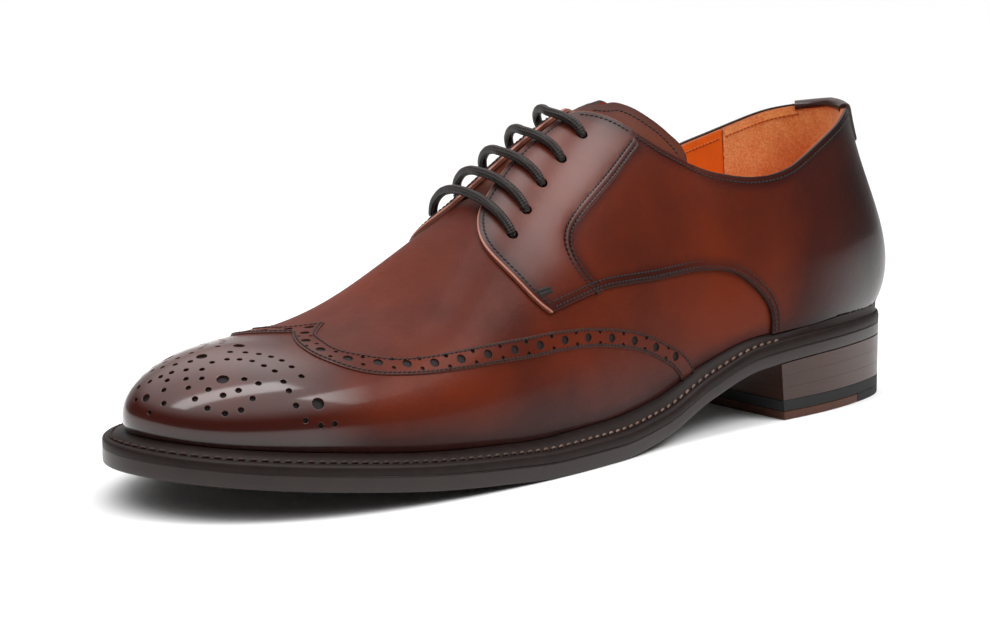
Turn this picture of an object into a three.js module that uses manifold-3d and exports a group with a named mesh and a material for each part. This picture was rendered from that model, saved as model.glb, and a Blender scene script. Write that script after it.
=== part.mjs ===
// A man's welted derby shoe for the left foot, standing empty on its sole.
// Lengths are millimetres. X runs from the heel to the toe, Y to the outer side, Z up from the floor.
// The upper is lofted from ribs that rise from the feather line, where upper and sole meet, to the crest.

import * as THREE from 'three';
import { mergeVertices } from 'three/addons/utils/BufferGeometryUtils.js';
import Module from 'manifold-3d';

const wasm = await Module();
wasm.setup();

// Sizes of the last
const LAST_LENGTH = 296;
const LAST_BACK = 2;
const LAST_WIDTH = 86;
const INSTEP_HEIGHT = 92;

// Leather of the upper
const VAMP_WALL = 1.6;
const QUARTER_STEP = 1.5;
const SEAM_LAP = 0.05;
const TONGUE_WALL = 1.3;
const TONGUE_GAP = 0.3;
const HEEL_TAB_STEP = 0.9;
const HEEL_TAB_HEIGHT = 11;
const HEEL_TAB_HALF = 13;
const HEEL_TAB_REACH = 22;

// Bottom of the shoe
const HEEL_RISE = 21;
const TOE_SPRING = 12.3;
const SEAT_THICKNESS = 4.3;
const OUTSOLE_THICKNESS = 5.1;
const WELT_THICKNESS = 2.8;
const WELT_WIDTH = 8.5;
const WELT_RISE = 4.2;
const WELT_INSIDE = 3.2;
const WELT_LAND = 0.5;
const INSOLE_THICKNESS = 2.4;
const STACK_GAP = 0.1;
const SIDE_GAP = 0.3;

// Heel
const BREAST_FOOT = 66;
const BREAST_HEAD = 68;
const TOP_PIECE = 6.8;
const INLAY_THICKNESS = 3;
const INLAY_BACK = 25;
const LIFT_COUNT = 3;

// Lace
const LACE_DIAMETER = 3;
const LACE_LIFT = 0.4;

// Ribs: at is the turn round the feather line from the heel back, in degrees.
// Other values are shares: crest of LAST_LENGTH, rise and drop of INSTEP_HEIGHT, welt of WELT_WIDTH, the rest of LAST_WIDTH.
const RIBS = [
  { at: 0, crest: 0.044, lateral: 0, medial: 0, bulgeL: 0.128, bulgeM: 0.128, riseL: 0.25, riseM: 0.25,
    reachL: 0.017, reachM: 0.017, drop: 0.38, weltL: 0.376, weltM: 0.376 },
  { at: 15, crest: 0.066, lateral: 0.169, medial: 0.157, bulgeL: 0.145, bulgeM: 0.145, riseL: 0.25, riseM: 0.25,
    reachL: 0.017, reachM: 0.017, drop: 0.38, weltL: 0.353, weltM: 0.353 },
  { at: 30, crest: 0.118, lateral: 0.263, medial: 0.263, bulgeL: 0.11, bulgeM: 0.11, riseL: 0.239, riseM: 0.239,
    reachL: 0.023, reachM: 0.023, drop: 0.38, weltL: 0.329, weltM: 0.329 },
  { at: 45, crest: 0.203, lateral: 0.32, medial: 0.321, bulgeL: 0.076, bulgeM: 0.076, riseL: 0.239, riseM: 0.239,
    reachL: 0.035, reachM: 0.035, drop: 0.37, weltL: 0.329, weltM: 0.353 },
  { at: 60, crest: 0.311, lateral: 0.329, medial: 0.302, bulgeL: 0.052, bulgeM: 0.041, riseL: 0.25, riseM: 0.261,
    reachL: 0.13, reachM: 0.12, drop: 0.2, weltL: 0.4, weltM: 0.424 },
  { at: 75, crest: 0.419, lateral: 0.337, medial: 0.285, bulgeL: 0.047, bulgeM: 0.023, riseL: 0.272, riseM: 0.304,
    reachL: 0.235, reachM: 0.22, drop: 0.02, weltL: 0.612, weltM: 0.541 },
  { at: 90, crest: 0.524, lateral: 0.401, medial: 0.366, bulgeL: 0.052, bulgeM: 0.035, riseL: 0.304, riseM: 0.326,
    reachL: 0.244, reachM: 0.221, drop: 0.011, weltL: 0.824, weltM: 0.824 },
  { at: 105, crest: 0.628, lateral: 0.448, medial: 0.494, bulgeL: 0.064, bulgeM: 0.058, riseL: 0.293, riseM: 0.326,
    reachL: 0.279, reachM: 0.233, drop: 0, weltL: 0.941, weltM: 1 },
  { at: 120, crest: 0.726, lateral: 0.451, medial: 0.544, bulgeL: 0.07, bulgeM: 0.064, riseL: 0.272, riseM: 0.293,
    reachL: 0.279, reachM: 0.233, drop: 0, weltL: 1, weltM: 1.059 },
  { at: 135, crest: 0.804, lateral: 0.401, medial: 0.483, bulgeL: 0.064, bulgeM: 0.058, riseL: 0.239, riseM: 0.25,
    reachL: 0.244, reachM: 0.244, drop: 0, weltL: 1, weltM: 1.059 },
  { at: 150, crest: 0.851, lateral: 0.297, medial: 0.355, bulgeL: 0.047, bulgeM: 0.047, riseL: 0.196, riseM: 0.196,
    reachL: 0.221, reachM: 0.233, drop: 0, weltL: 0.918, weltM: 1 },
  { at: 165, crest: 0.872, lateral: 0.134, medial: 0.198, bulgeL: 0.052, bulgeM: 0.052, riseL: 0.163, riseM: 0.163,
    reachL: 0.209, reachM: 0.221, drop: 0, weltL: 0.776, weltM: 0.824 },
  { at: 180, crest: 0.878, lateral: -0.052, medial: 0.052, bulgeL: 0.076, bulgeM: 0.076, riseL: 0.158, riseM: 0.158,
    reachL: 0.209, reachM: 0.209, drop: 0, weltL: 0.706, weltM: 0.706 },
];
const CREST = [
  { along: -0.074, height: 0.876 },
  { along: 0.027, height: 0.88 },
  { along: 0.128, height: 0.894 },
  { along: 0.23, height: 0.946 },
  { along: 0.318, height: 0.994 },
  { along: 0.402, height: 1.011 },
  { along: 0.449, height: 0.989 },
  { along: 0.5, height: 0.921 },
  { along: 0.584, height: 0.744 },
  { along: 0.642, height: 0.607 },
  { along: 0.703, height: 0.46 },
  { along: 0.77, height: 0.355 },
  { along: 0.821, height: 0.317 },
  { along: 0.878, height: 0.295 },
  { along: 1.007, height: 0.248 },
];
const CREST_SIDE = [
  { along: -0.058, shift: 0 },
  { along: 0.332, shift: -0.006 },
  { along: 0.599, shift: -0.023 },
  { along: 0.743, shift: -0.047 },
  { along: 0.876, shift: -0.052 },
  { along: 1.02, shift: -0.052 },
];
const OPENING = [
  { at: 0, half: 0 },
  { at: 8, half: 0.081 },
  { at: 15, half: 0.145 },
  { at: 30, half: 0.227 },
  { at: 45, half: 0.244 },
  { at: 55, half: 0.174 },
  { at: 62, half: 0.07 },
  { at: 67, half: 0 },
  { at: 180, half: 0 },
];
const SOLE_LINE = [
  { along: -0.058, heel: 1.01, spring: 0 },
  { along: -0.007, heel: 1, spring: 0 },
  { along: 0.127, heel: 0.98, spring: 0 },
  { along: 0.25, heel: 0.88, spring: 0 },
  { along: 0.332, heel: 0.57, spring: 0 },
  { along: 0.414, heel: 0.152, spring: 0 },
  { along: 0.496, heel: 0, spring: 0 },
  { along: 0.585, heel: 0, spring: 0 },
  { along: 0.671, heel: 0, spring: 0.13 },
  { along: 0.753, heel: 0, spring: 0.29 },
  { along: 0.856, heel: 0, spring: 0.57 },
  { along: 0.938, heel: 0, spring: 0.79 },
  { along: 1.02, heel: 0, spring: 1 },
  { along: 1.072, heel: 0, spring: 1.1 },
];
const WELT_LIFT = [
  { along: -0.058, lift: 0.714 },
  { along: 0.199, lift: 0.762 },
  { along: 0.353, lift: 1 },
  { along: 0.455, lift: 1 },
  { along: 0.609, lift: 0.714 },
  { along: 0.764, lift: 0.571 },
  { along: 1.072, lift: 0.571 },
];
// Top line: outer is the height on the outer side of the foot, inner on the side of the arch
const COLLAR = [
  { along: -0.074, outer: 0.762, inner: 0.762 },
  { along: 0, outer: 0.76, inner: 0.76 },
  { along: 0.041, outer: 0.757, inner: 0.752 },
  { along: 0.076, outer: 0.746, inner: 0.73 },
  { along: 0.099, outer: 0.71, inner: 0.707 },
  { along: 0.128, outer: 0.668, inner: 0.683 },
  { along: 0.158, outer: 0.626, inner: 0.658 },
  { along: 0.186, outer: 0.591, inner: 0.639 },
  { along: 0.214, outer: 0.571, inner: 0.622 },
  { along: 0.25, outer: 0.57, inner: 0.617 },
  { along: 0.296, outer: 0.626, inner: 0.667 },
  { along: 0.322, outer: 0.686, inner: 0.722 },
  { along: 0.375, outer: 0.838, inner: 0.853 },
  { along: 0.421, outer: 0.963, inner: 0.963 },
  { along: 0.443, outer: 1.018, inner: 1.018 },
];
const QUARTER_FOOT = [
  { along: 0.565, height: 0.399 },
  { along: 0.524, height: 0.421 },
  { along: 0.479, height: 0.435 },
  { along: 0.427, height: 0.421 },
  { along: 0.355, height: 0.355 },
  { along: 0.318, height: 0.308 },
  { along: 0.29, height: 0.262 },
  { along: 0.261, height: 0.187 },
  { along: 0.236, height: 0.108 },
  { along: 0.227, height: 0.029 },
  { along: 0.226, height: -0.082 },
];
const TONGUE_BACK = [
  { along: 0.402, height: 1.089 },
  { along: 0.385, height: 1.001 },
  { along: 0.376, height: 0.953 },
  { along: 0.355, height: 0.876 },
  { along: 0.338, height: 0.803 },
  { along: 0.326, height: 0.738 },
  { along: 0.322, height: 0.69 },
  { along: 0.321, height: 0.584 },
  { along: 0.328, height: 0.46 },
];
const FACING = [
  { along: 0.436, out: 0.031 },
  { along: 0.457, out: 0.033 },
  { along: 0.486, out: 0.034 },
  { along: 0.507, out: 0.037 },
  { along: 0.534, out: 0.043 },
  { along: 0.563, out: 0.057 },
  { along: 0.584, out: 0.082 },
  { along: 0.596, out: 0.118 },
  { along: 0.606, out: 0.173 },
  { along: 0.608, out: 0.222 },
  { along: 0.6, out: 0.297 },
  { along: 0.582, out: 0.364 },
  { along: 0.565, out: 0.397 },
];
const THROAT = [
  { along: 0.574, half: 0.128 },
  { along: 0.561, half: 0.174 },
  { along: 0.318, half: 0.198 },
];
const EYELETS = [
  { at: 98.4, up: 0.71 },
  { at: 94.9, up: 0.74 },
  { at: 90.9, up: 0.78 },
  { at: 86.3, up: 0.81 },
  { at: 81, up: 0.84 },
];

// How finely the curved faces are divided
const RIB_COUNT = 60;
const ROW_COUNT = 14;
const OUTLINE_COUNT = 72;
const STATION_COUNT = 28;

const radians = Math.PI / 180;
const along = (share) => LAST_BACK + share * LAST_LENGTH;
const across = (share) => share * LAST_WIDTH;

// How far the cutting shapes reach past the shoe
const cutWide = 2 * LAST_WIDTH;
const cutHigh = 3 * INSTEP_HEIGHT;
const cutLow = 2 * WELT_THICKNESS;

// A line through rows with given slopes, level beyond its ends
function curve(xs, ys, slopes) {
  return (x) => {
    if (x <= xs[0]) {
      return ys[0];
    }
    if (x >= xs[xs.length - 1]) {
      return ys[ys.length - 1];
    }
    let i = 0;
    while (x > xs[i + 1]) {
      i += 1;
    }
    const span = xs[i + 1] - xs[i];
    const s = (x - xs[i]) / span;
    const rest = 1 - s;
    const start = rest * rest * ((1 + 2 * s) * ys[i] + s * span * slopes[i]);
    const end = s * s * ((3 - 2 * s) * ys[i + 1] - rest * span * slopes[i + 1]);
    return start + end;
  };
}

// A line that bends evenly through its rows, and runs into itself where it is a loop
function smooth(xs, ys, loop) {
  const last = xs.length - 1;
  const slopes = ys.map(() => 0);
  for (let pass = 0; pass < 80; pass += 1) {
    for (let i = 0; i <= last; i += 1) {
      if (!loop && i === 0) {
        slopes[0] = (3 * (ys[1] - ys[0]) / (xs[1] - xs[0]) - slopes[1]) / 2;
      } else if (!loop && i === last) {
        slopes[last] = (3 * (ys[last] - ys[last - 1]) / (xs[last] - xs[last - 1]) - slopes[last - 1]) / 2;
      } else {
        const before = i === 0 ? last - 1 : i - 1;
        const after = i === last ? 1 : i + 1;
        const back = i === 0 ? xs[last] - xs[last - 1] : xs[i] - xs[i - 1];
        const ahead = i === last ? xs[1] - xs[0] : xs[i + 1] - xs[i];
        const pull = 3 * (ahead * (ys[i] - ys[before]) / back + back * (ys[after] - ys[i]) / ahead);
        slopes[i] = (pull - ahead * slopes[before] - back * slopes[after]) / (2 * (back + ahead));
      }
    }
  }
  return curve(xs, ys, slopes);
}

// A line that never swings past its rows, so that level stretches stay level
function steady(xs, ys) {
  const last = xs.length - 1;
  const span = xs.slice(1).map((x, i) => x - xs[i]);
  const rate = span.map((width, i) => (ys[i + 1] - ys[i]) / width);
  const slopes = ys.map((y, i) => {
    if (i === 0 || i === last) {
      return rate[i === 0 ? 0 : last - 1];
    }
    if (rate[i - 1] * rate[i] <= 0) {
      return 0;
    }
    const near = 2 * span[i] + span[i - 1];
    const far = span[i] + 2 * span[i - 1];
    return (near + far) / (near / rate[i - 1] + far / rate[i]);
  });
  return curve(xs, ys, slopes);
}

// Heights of the bottom, from the ground side of the sole up to the feather line
const soleAlong = SOLE_LINE.map((row) => along(row.along));
const soleLow = steady(soleAlong, SOLE_LINE.map((row) => row.heel * HEEL_RISE + row.spring * TOE_SPRING));
const thickAlong = [along(-0.06), along(0.3), along(0.5), along(1.06)];
const soleThick = steady(thickAlong, [SEAT_THICKNESS, SEAT_THICKNESS, OUTSOLE_THICKNESS, OUTSOLE_THICKNESS]);
const weltLift = steady(WELT_LIFT.map((row) => along(row.along)), WELT_LIFT.map((row) => row.lift * WELT_RISE));
const soleHigh = (x) => soleLow(x) + soleThick(x);
const weltEdge = (x) => soleHigh(x) + WELT_THICKNESS;
const feather = (x) => weltEdge(x) + weltLift(x);

// Values of the ribs all the way round, the outer side first
function around(outer, inner, sign) {
  const back = RIBS.slice(0, -1).reverse();
  const turns = [...RIBS.map((row) => row.at), ...back.map((row) => 360 - row.at)];
  const values = [...RIBS.map(outer), ...back.map((row) => sign * inner(row))];
  values[values.length - 1] = values[0];
  return smooth(turns, values, true);
}
const side = around((row) => across(row.lateral), (row) => across(row.medial), -1);
const crestAt = around((row) => along(row.crest), (row) => along(row.crest), 1);
const bulge = around((row) => across(row.bulgeL), (row) => across(row.bulgeM), 1);
const rise = around((row) => row.riseL * INSTEP_HEIGHT, (row) => row.riseM * INSTEP_HEIGHT, 1);
const reach = around((row) => across(row.reachL), (row) => across(row.reachM), 1);
const drop = around((row) => row.drop * INSTEP_HEIGHT, (row) => row.drop * INSTEP_HEIGHT, 1);
const weltOut = around((row) => row.weltL * WELT_WIDTH, (row) => row.weltM * WELT_WIDTH, 1);
const crestHeight = smooth(CREST.map((row) => along(row.along)), CREST.map((row) => row.height * INSTEP_HEIGHT), false);
const crestLine = (x) => feather(x) + crestHeight(x);
const crestSide = steady(CREST_SIDE.map((row) => along(row.along)), CREST_SIDE.map((row) => across(row.shift)));
const opening = steady(OPENING.map((row) => row.at), OPENING.map((row) => across(row.half)));

const wrap = (at) => ((at % 360) + 360) % 360;
const folded = (at) => (wrap(at) <= 180 ? wrap(at) : 360 - wrap(at));
const featherX = (at) => LAST_BACK + LAST_LENGTH * (1 - Math.cos(at * radians)) / 2;

// The direction straight out from the feather line
function outward(at) {
  const step = 0.05;
  const dx = featherX(at + step) - featherX(at - step);
  const dy = side(wrap(at + step)) - side(wrap(at - step));
  return new THREE.Vector3(-dy, dx, 0).normalize();
}

// A point on the upper: at turns round the sole, up runs from the feather line to the crest
function skin(at, up) {
  const turn = wrap(at);
  const foot = new THREE.Vector3(featherX(turn), side(turn), 0);
  foot.z = feather(foot.x);
  const half = (turn <= 180 ? 1 : -1) * opening(folded(turn));
  const top = new THREE.Vector3(crestAt(turn), 0, 0);
  top.y = crestSide(top.x) + half;
  top.z = crestLine(top.x);
  const low = foot.clone().addScaledVector(outward(turn), bulge(turn));
  low.z += rise(turn);
  const toFoot = new THREE.Vector3(foot.x - top.x, foot.y - top.y, 0).normalize();
  const pitch = (crestLine(top.x + 0.05) - crestLine(top.x - 0.05)) / 0.1;
  const high = top.clone().addScaledVector(toFoot, reach(turn));
  high.z += pitch * toFoot.x * reach(turn) - drop(turn);
  return new THREE.CubicBezierCurve3(foot, low, high, top).getPoint(up);
}

// The direction straight out of the leather
function facing(at, up) {
  const level = Math.min(up, 0.985);
  const low = Math.max(level - 0.01, 0);
  const run = skin(at + 0.5, level).sub(skin(at - 0.5, level));
  const climb = skin(at, level + 0.01).sub(skin(at, low));
  const out = climb.cross(run).normalize();
  if (up <= 0) {
    out.z = 0;
  }
  return out.normalize();
}

// A point a set depth outside the skin, shared by both sides along the closed crest
function layer(at, up, depth) {
  const out = facing(at, up);
  if (up >= 1 && opening(folded(at)) === 0) {
    out.add(facing(360 - at, up)).normalize();
  }
  return skin(at, up).addScaledVector(out, depth);
}

// Turns a closed geometry into a solid that can be cut and joined
function solid(geometry) {
  const plain = geometry.clone();
  plain.deleteAttribute('normal');
  plain.deleteAttribute('uv');
  const merged = mergeVertices(plain, 0.0001);
  const corners = merged.index.array;
  const triangles = [];
  for (let i = 0; i < corners.length; i += 3) {
    const [a, b, c] = [corners[i], corners[i + 1], corners[i + 2]];
    if (a !== b && b !== c && a !== c) {
      triangles.push(a, b, c);
    }
  }
  const vertProperties = new Float32Array(merged.attributes.position.array);
  const mesh = new wasm.Mesh({ numProp: 3, vertProperties, triVerts: new Uint32Array(triangles) });
  return new wasm.Manifold(mesh);
}

function geometryOf(points, triangles) {
  const geometry = new THREE.BufferGeometry();
  const numbers = points.flatMap((point) => [point.x, point.y, point.z]);
  geometry.setAttribute('position', new THREE.Float32BufferAttribute(numbers, 3));
  geometry.setIndex(triangles);
  return geometry;
}

// The whole form of the last, a set depth outside the skin, with a skirt below the feather line
function form(depth) {
  const rows = ROW_COUNT + 2;
  const points = [];
  for (let i = 0; i < RIB_COUNT; i += 1) {
    const at = 360 * i / RIB_COUNT;
    const hem = layer(at, 0, depth);
    points.push(hem.clone().setZ(hem.z - cutLow));
    for (let j = 0; j <= ROW_COUNT; j += 1) {
      points.push(layer(at, j / ROW_COUNT, depth));
    }
  }
  const triangles = [];
  const place = (i, j) => (i % RIB_COUNT) * rows + j;
  const quad = (a, b, c, d) => triangles.push(a, b, c, a, c, d);
  for (let i = 0; i < RIB_COUNT; i += 1) {
    for (let j = 0; j < rows - 1; j += 1) {
      quad(place(i, j), place(i, j + 1), place(i + 1, j + 1), place(i + 1, j));
    }
  }
  for (let i = 0; i < RIB_COUNT / 2; i += 1) {
    const other = RIB_COUNT - i;
    quad(place(i, 0), place(i + 1, 0), place(other - 1, 0), place(other, 0));
    quad(place(i, rows - 1), place(other, rows - 1), place(other - 1, rows - 1), place(i + 1, rows - 1));
  }
  return solid(geometryOf(points, triangles));
}

// A solid through sections that have the same count of corners, or a ring of them
function loft(sections, closed) {
  const size = sections[0].length;
  const triangles = [];
  const spans = closed ? sections.length : sections.length - 1;
  for (let i = 0; i < spans; i += 1) {
    const here = size * i;
    const next = size * ((i + 1) % sections.length);
    for (let k = 0; k < size; k += 1) {
      const after = (k + 1) % size;
      triangles.push(here + k, next + after, next + k, here + k, here + after, next + after);
    }
  }
  if (!closed) {
    const end = size * (sections.length - 1);
    for (let k = 1; k < size - 1; k += 1) {
      triangles.push(0, k + 1, k, end, end + k, end + k + 1);
    }
  }
  return solid(geometryOf(sections.flat(), triangles));
}

// A plate that follows the bottom's profile, from one side of the shoe to the other
function profile(low, high, from, to) {
  const stations = soleAlong.filter((x) => x > from && x < to);
  for (let i = 0; i <= STATION_COUNT; i += 1) {
    stations.push(from + (to - from) * i / STATION_COUNT);
  }
  stations.sort((a, b) => a - b);
  const xs = stations.filter((x, i) => i === 0 || x - stations[i - 1] > 0.01);
  const sections = xs.map((x) => [
    new THREE.Vector3(x, -cutWide, low(x)),
    new THREE.Vector3(x, cutWide, low(x)),
    new THREE.Vector3(x, cutWide, high(x)),
    new THREE.Vector3(x, -cutWide, high(x)),
  ]);
  return loft(sections, false);
}

// A shape drawn from the side and carried across the shoe
function sideways(points, from, to) {
  const geometry = new THREE.ExtrudeGeometry(new THREE.Shape(points), { depth: to - from, bevelEnabled: false });
  geometry.rotateX(Math.PI / 2);
  geometry.translate(0, to, 0);
  return solid(geometry);
}

// A shape drawn from above and carried up
function upright(points, from, to) {
  const geometry = new THREE.ExtrudeGeometry(new THREE.Shape(points), { depth: to - from, bevelEnabled: false });
  geometry.translate(0, 0, from);
  return solid(geometry);
}

// The feather line moved out by a width that may change round the shoe
function outline(width) {
  const points = [];
  for (let i = 0; i < OUTLINE_COUNT; i += 1) {
    const at = 360 * i / OUTLINE_COUNT;
    const out = outward(at).multiplyScalar(width(at));
    points.push(new THREE.Vector2(featherX(at) + out.x, side(at) + out.y));
  }
  return points;
}

const BACK = LAST_BACK - 2 * WELT_WIDTH;
const FRONT = LAST_BACK + LAST_LENGTH + 2 * WELT_WIDTH;
const TOP = 2 * INSTEP_HEIGHT;
const lift = (height, by) => (x) => height(x) + by;
const level = (height) => () => height;
const soleColumn = upright(outline(weltOut), -cutLow, cutHigh);
const breastShape = [[BACK, -cutLow], [BREAST_FOOT, 0], [BREAST_HEAD, HEEL_RISE + cutLow], [BACK, HEEL_RISE + cutLow]];
const heelColumn = sideways(breastShape.map(([x, z]) => new THREE.Vector2(x, z)), -cutWide, cutWide).intersect(soleColumn);

// Outsole
const outsole = profile(soleLow, soleHigh, BACK, FRONT).intersect(soleColumn);

// Welt from breast to breast, and the rand that closes it round the heel
function bevelCutter() {
  const sections = [];
  for (let i = 0; i < OUTLINE_COUNT; i += 1) {
    const at = 360 * i / OUTLINE_COUNT;
    const out = outward(at);
    const foot = new THREE.Vector3(featherX(at), side(at), 0);
    const edge = foot.clone().addScaledVector(out, weltOut(at));
    const inner = foot.clone().addScaledVector(out, WELT_LAND);
    inner.z = feather(inner.x);
    edge.z = weltEdge(edge.x);
    const beyond = edge.clone().multiplyScalar(2).sub(inner);
    sections.push([inner, beyond, beyond.clone().setZ(cutHigh), inner.clone().setZ(cutHigh)]);
  }
  return loft(sections, true);
}
const ringBlank = profile(lift(soleHigh, STACK_GAP), feather, BACK, FRONT).intersect(soleColumn);
const insideWelt = upright(outline(() => -WELT_INSIDE), -cutLow, cutHigh);
const ring = ringBlank.subtract(insideWelt).subtract(bevelCutter());
const frontHalf = [[BREAST_HEAD, -cutWide], [FRONT, -cutWide], [FRONT, cutWide], [BREAST_HEAD, cutWide]];
const frontColumn = upright(frontHalf.map(([x, y]) => new THREE.Vector2(x, y)), -cutLow, cutHigh);
const welt = ring.intersect(frontColumn);
const rand = ring.subtract(frontColumn.translate([-SIDE_GAP, 0, 0]));

// Insole: it fills the hollow inside the welt and widens to the wall above it
const plug = profile(lift(soleHigh, STACK_GAP), lift(feather, INSOLE_THICKNESS / 2), BACK, FRONT)
  .intersect(upright(outline(() => -WELT_INSIDE - SIDE_GAP), -cutLow, cutHigh));
const insoleTop = lift(feather, STACK_GAP + INSOLE_THICKNESS);
const sheet = profile(lift(feather, STACK_GAP), insoleTop, BACK, FRONT)
  .intersect(upright(outline(() => -VAMP_WALL - SIDE_GAP), -cutLow, cutHigh));
const insole = plug.add(sheet);

// Heel: leather lifts over a rubber top piece with a leather inlay
const topPiece = profile(level(0), level(TOP_PIECE), BACK, FRONT).intersect(heelColumn);
const inlayShape = (x) => [[x, -cutWide], [FRONT, -cutWide], [FRONT, cutWide], [x, cutWide]];
const inlayColumn = (x) => inlayShape(x).map(([a, b]) => new THREE.Vector2(a, b));
const rubber = topPiece.subtract(upright(inlayColumn(INLAY_BACK), -cutLow, INLAY_THICKNESS));
const inlay = topPiece.intersect(upright(inlayColumn(INLAY_BACK + SIDE_GAP), -cutLow, INLAY_THICKNESS - STACK_GAP));
const liftLevel = (part) => (x) => TOP_PIECE + (soleLow(x) - TOP_PIECE) * part;
const lifts = [];
for (let k = 0; k < LIFT_COUNT; k += 1) {
  const low = lift(liftLevel(k / LIFT_COUNT), STACK_GAP);
  const high = k < LIFT_COUNT - 1 ? liftLevel((k + 1) / LIFT_COUNT) : lift(soleLow, -STACK_GAP);
  lifts.push(profile(low, high, BACK, FRONT - LAST_LENGTH / 2).intersect(heelColumn));
}

// Lines drawn on the side of the upper, as heights above the feather line
function sideLine(rows, count, height = (row) => row.height) {
  const points = rows.map((row) => {
    const x = along(row.along);
    return new THREE.Vector2(x, feather(x) + height(row) * INSTEP_HEIGHT);
  });
  return new THREE.SplineCurve(points).getPoints(count);
}
const corner = (x, z) => new THREE.Vector2(x, z);

// Front edge of the facings, seen from above
const facingEdge = new THREE.SplineCurve(FACING.map((row) => {
  const x = along(row.along);
  return new THREE.Vector2(x, across(row.out));
})).getPoints(36);
function quarterZone(sign) {
  const edge = facingEdge.map((point) => corner(point.x, crestSide(point.x) + sign * point.y));
  const tab = edge[edge.length - 1];
  const plan = [...edge, corner(tab.x, sign * cutWide), corner(BACK, sign * cutWide), corner(BACK, 0)];
  plan.push(corner(along(THROAT[THROAT.length - 1].along), crestSide(edge[0].x) + sign * facingEdge[0].y));
  const foot = sideLine(QUARTER_FOOT, 36);
  const last = foot[foot.length - 1];
  const from = sign > 0 ? -1 : -cutWide;
  const to = sign > 0 ? cutWide : 1;
  const elevation = [...foot, corner(last.x, -cutLow), corner(BACK, -cutLow), corner(BACK, TOP)];
  elevation.push(corner(FRONT, TOP), corner(FRONT, foot[0].y));
  return upright(plan, -cutLow, cutHigh).intersect(sideways(elevation, from, to));
}

// The throat opens the wall under the facings, and the tongue fills it
function throat(clearance) {
  const points = THROAT.map((row) => [along(row.along) - clearance, across(row.half) - clearance]);
  const inner = points.slice().reverse().map(([x, y]) => [x, -y]);
  return upright([...points, ...inner].map(([x, y]) => corner(x, crestSide(x) + y)), -cutLow, cutHigh);
}

// Upper: one wall with the quarters as a step on it
const skinForm = form(0);
const quarterForm = form(QUARTER_STEP);
const hollow = form(-VAMP_WALL);
const aboveFeather = profile(lift(feather, STACK_GAP), level(TOP), BACK, FRONT);
const outerCollar = sideLine(COLLAR, 48, (row) => row.outer);
const innerCollar = sideLine(COLLAR, 48, (row) => row.inner);
function above(line, by) {
  const edge = line.map((point) => corner(point.x, point.y + by));
  return [corner(edge[0].x, TOP), ...edge, corner(edge[edge.length - 1].x, TOP)];
}
function collarCutter(by) {
  return sideways(above(outerCollar, by), 0, cutWide).add(sideways(above(innerCollar, by), -cutWide, 0));
}
const wall = skinForm.subtract(hollow).subtract(throat(0));
const zones = quarterZone(1).add(quarterZone(-1));
const quarters = quarterForm.subtract(form(-SEAM_LAP)).intersect(zones);
const body = wall.add(quarters).subtract(collarCutter(0));
const tabTop = feather(HEEL_TAB_REACH) + COLLAR[2].outer * INSTEP_HEIGHT;
const tabShape = [[BACK, tabTop - HEEL_TAB_HEIGHT], [HEEL_TAB_REACH, tabTop - HEEL_TAB_HEIGHT], [HEEL_TAB_REACH, TOP]];
const tabSide = sideways([...tabShape, [BACK, TOP]].map(([x, z]) => corner(x, z)), -HEEL_TAB_HALF, HEEL_TAB_HALF);
const heelTab = form(QUARTER_STEP + HEEL_TAB_STEP)
  .subtract(form(-VAMP_WALL - HEEL_TAB_STEP))
  .intersect(tabSide)
  .subtract(collarCutter(HEEL_TAB_STEP));
const upper = body.add(heelTab).intersect(aboveFeather);

// Tongue
const tongueBack = sideLine(TONGUE_BACK, 24);
const tongueEnd = tongueBack[tongueBack.length - 1];
const tongueFace = [...tongueBack, corner(FRONT, tongueEnd.y), corner(FRONT, TOP)];
tongueFace.push(corner(tongueBack[0].x, TOP));
const tongue = form(-TONGUE_GAP)
  .subtract(form(-TONGUE_GAP - TONGUE_WALL))
  .intersect(throat(TONGUE_GAP))
  .intersect(sideways(tongueFace, -cutWide, cutWide));

// A bar of the lace, laid over the facings from one eyelet to the other
function laceBar(row) {
  const depth = QUARTER_STEP + LACE_DIAMETER / 2 + LACE_LIFT;
  const points = [];
  const steps = 6;
  for (let i = 0; i < steps - 1; i += 1) {
    points.push(layer(row.at, row.up + (1 - row.up) * i / steps, depth));
  }
  for (let i = steps - 2; i >= 0; i -= 1) {
    points.push(layer(360 - row.at, row.up + (1 - row.up) * i / steps, depth));
  }
  const path = new THREE.CatmullRomCurve3(points);
  const round = new THREE.Shape();
  round.absarc(0, 0, LACE_DIAMETER / 2, 0, 2 * Math.PI);
  return new THREE.ExtrudeGeometry(round, { steps: 16, curveSegments: 5, extrudePath: path, bevelEnabled: false });
}

// Materials
const colours = {
  calf: { color: 0x5a2a1a, roughness: 0.35 },
  tongueCalf: { color: 0x4a2418, roughness: 0.4 },
  edge: { color: 0x2c1c18, roughness: 0.4 },
  sole: { color: 0x38251e, roughness: 0.45 },
  stack: { color: 0x4a3028, roughness: 0.45 },
  rubber: { color: 0x1c1b1c, roughness: 0.7 },
  inlay: { color: 0x6a3f2a, roughness: 0.5 },
  lining: { color: 0xc86a30, roughness: 0.6 },
  lace: { color: 0x211a17, roughness: 0.55 },
};

const shoe = new THREE.Group();
function addMesh(name, geometry, look) {
  const material = new THREE.MeshStandardMaterial({ ...colours[look], metalness: 0 });
  const mesh = new THREE.Mesh(geometry, material);
  mesh.name = name;
  shoe.add(mesh);
}
function addSolid(name, piece, look) {
  const mesh = piece.getMesh();
  const geometry = new THREE.BufferGeometry();
  geometry.setAttribute('position', new THREE.Float32BufferAttribute(mesh.vertProperties, 3));
  geometry.setIndex(new THREE.Uint32BufferAttribute(mesh.triVerts, 1));
  geometry.computeVertexNormals();
  addMesh(name, geometry, look);
}

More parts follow.
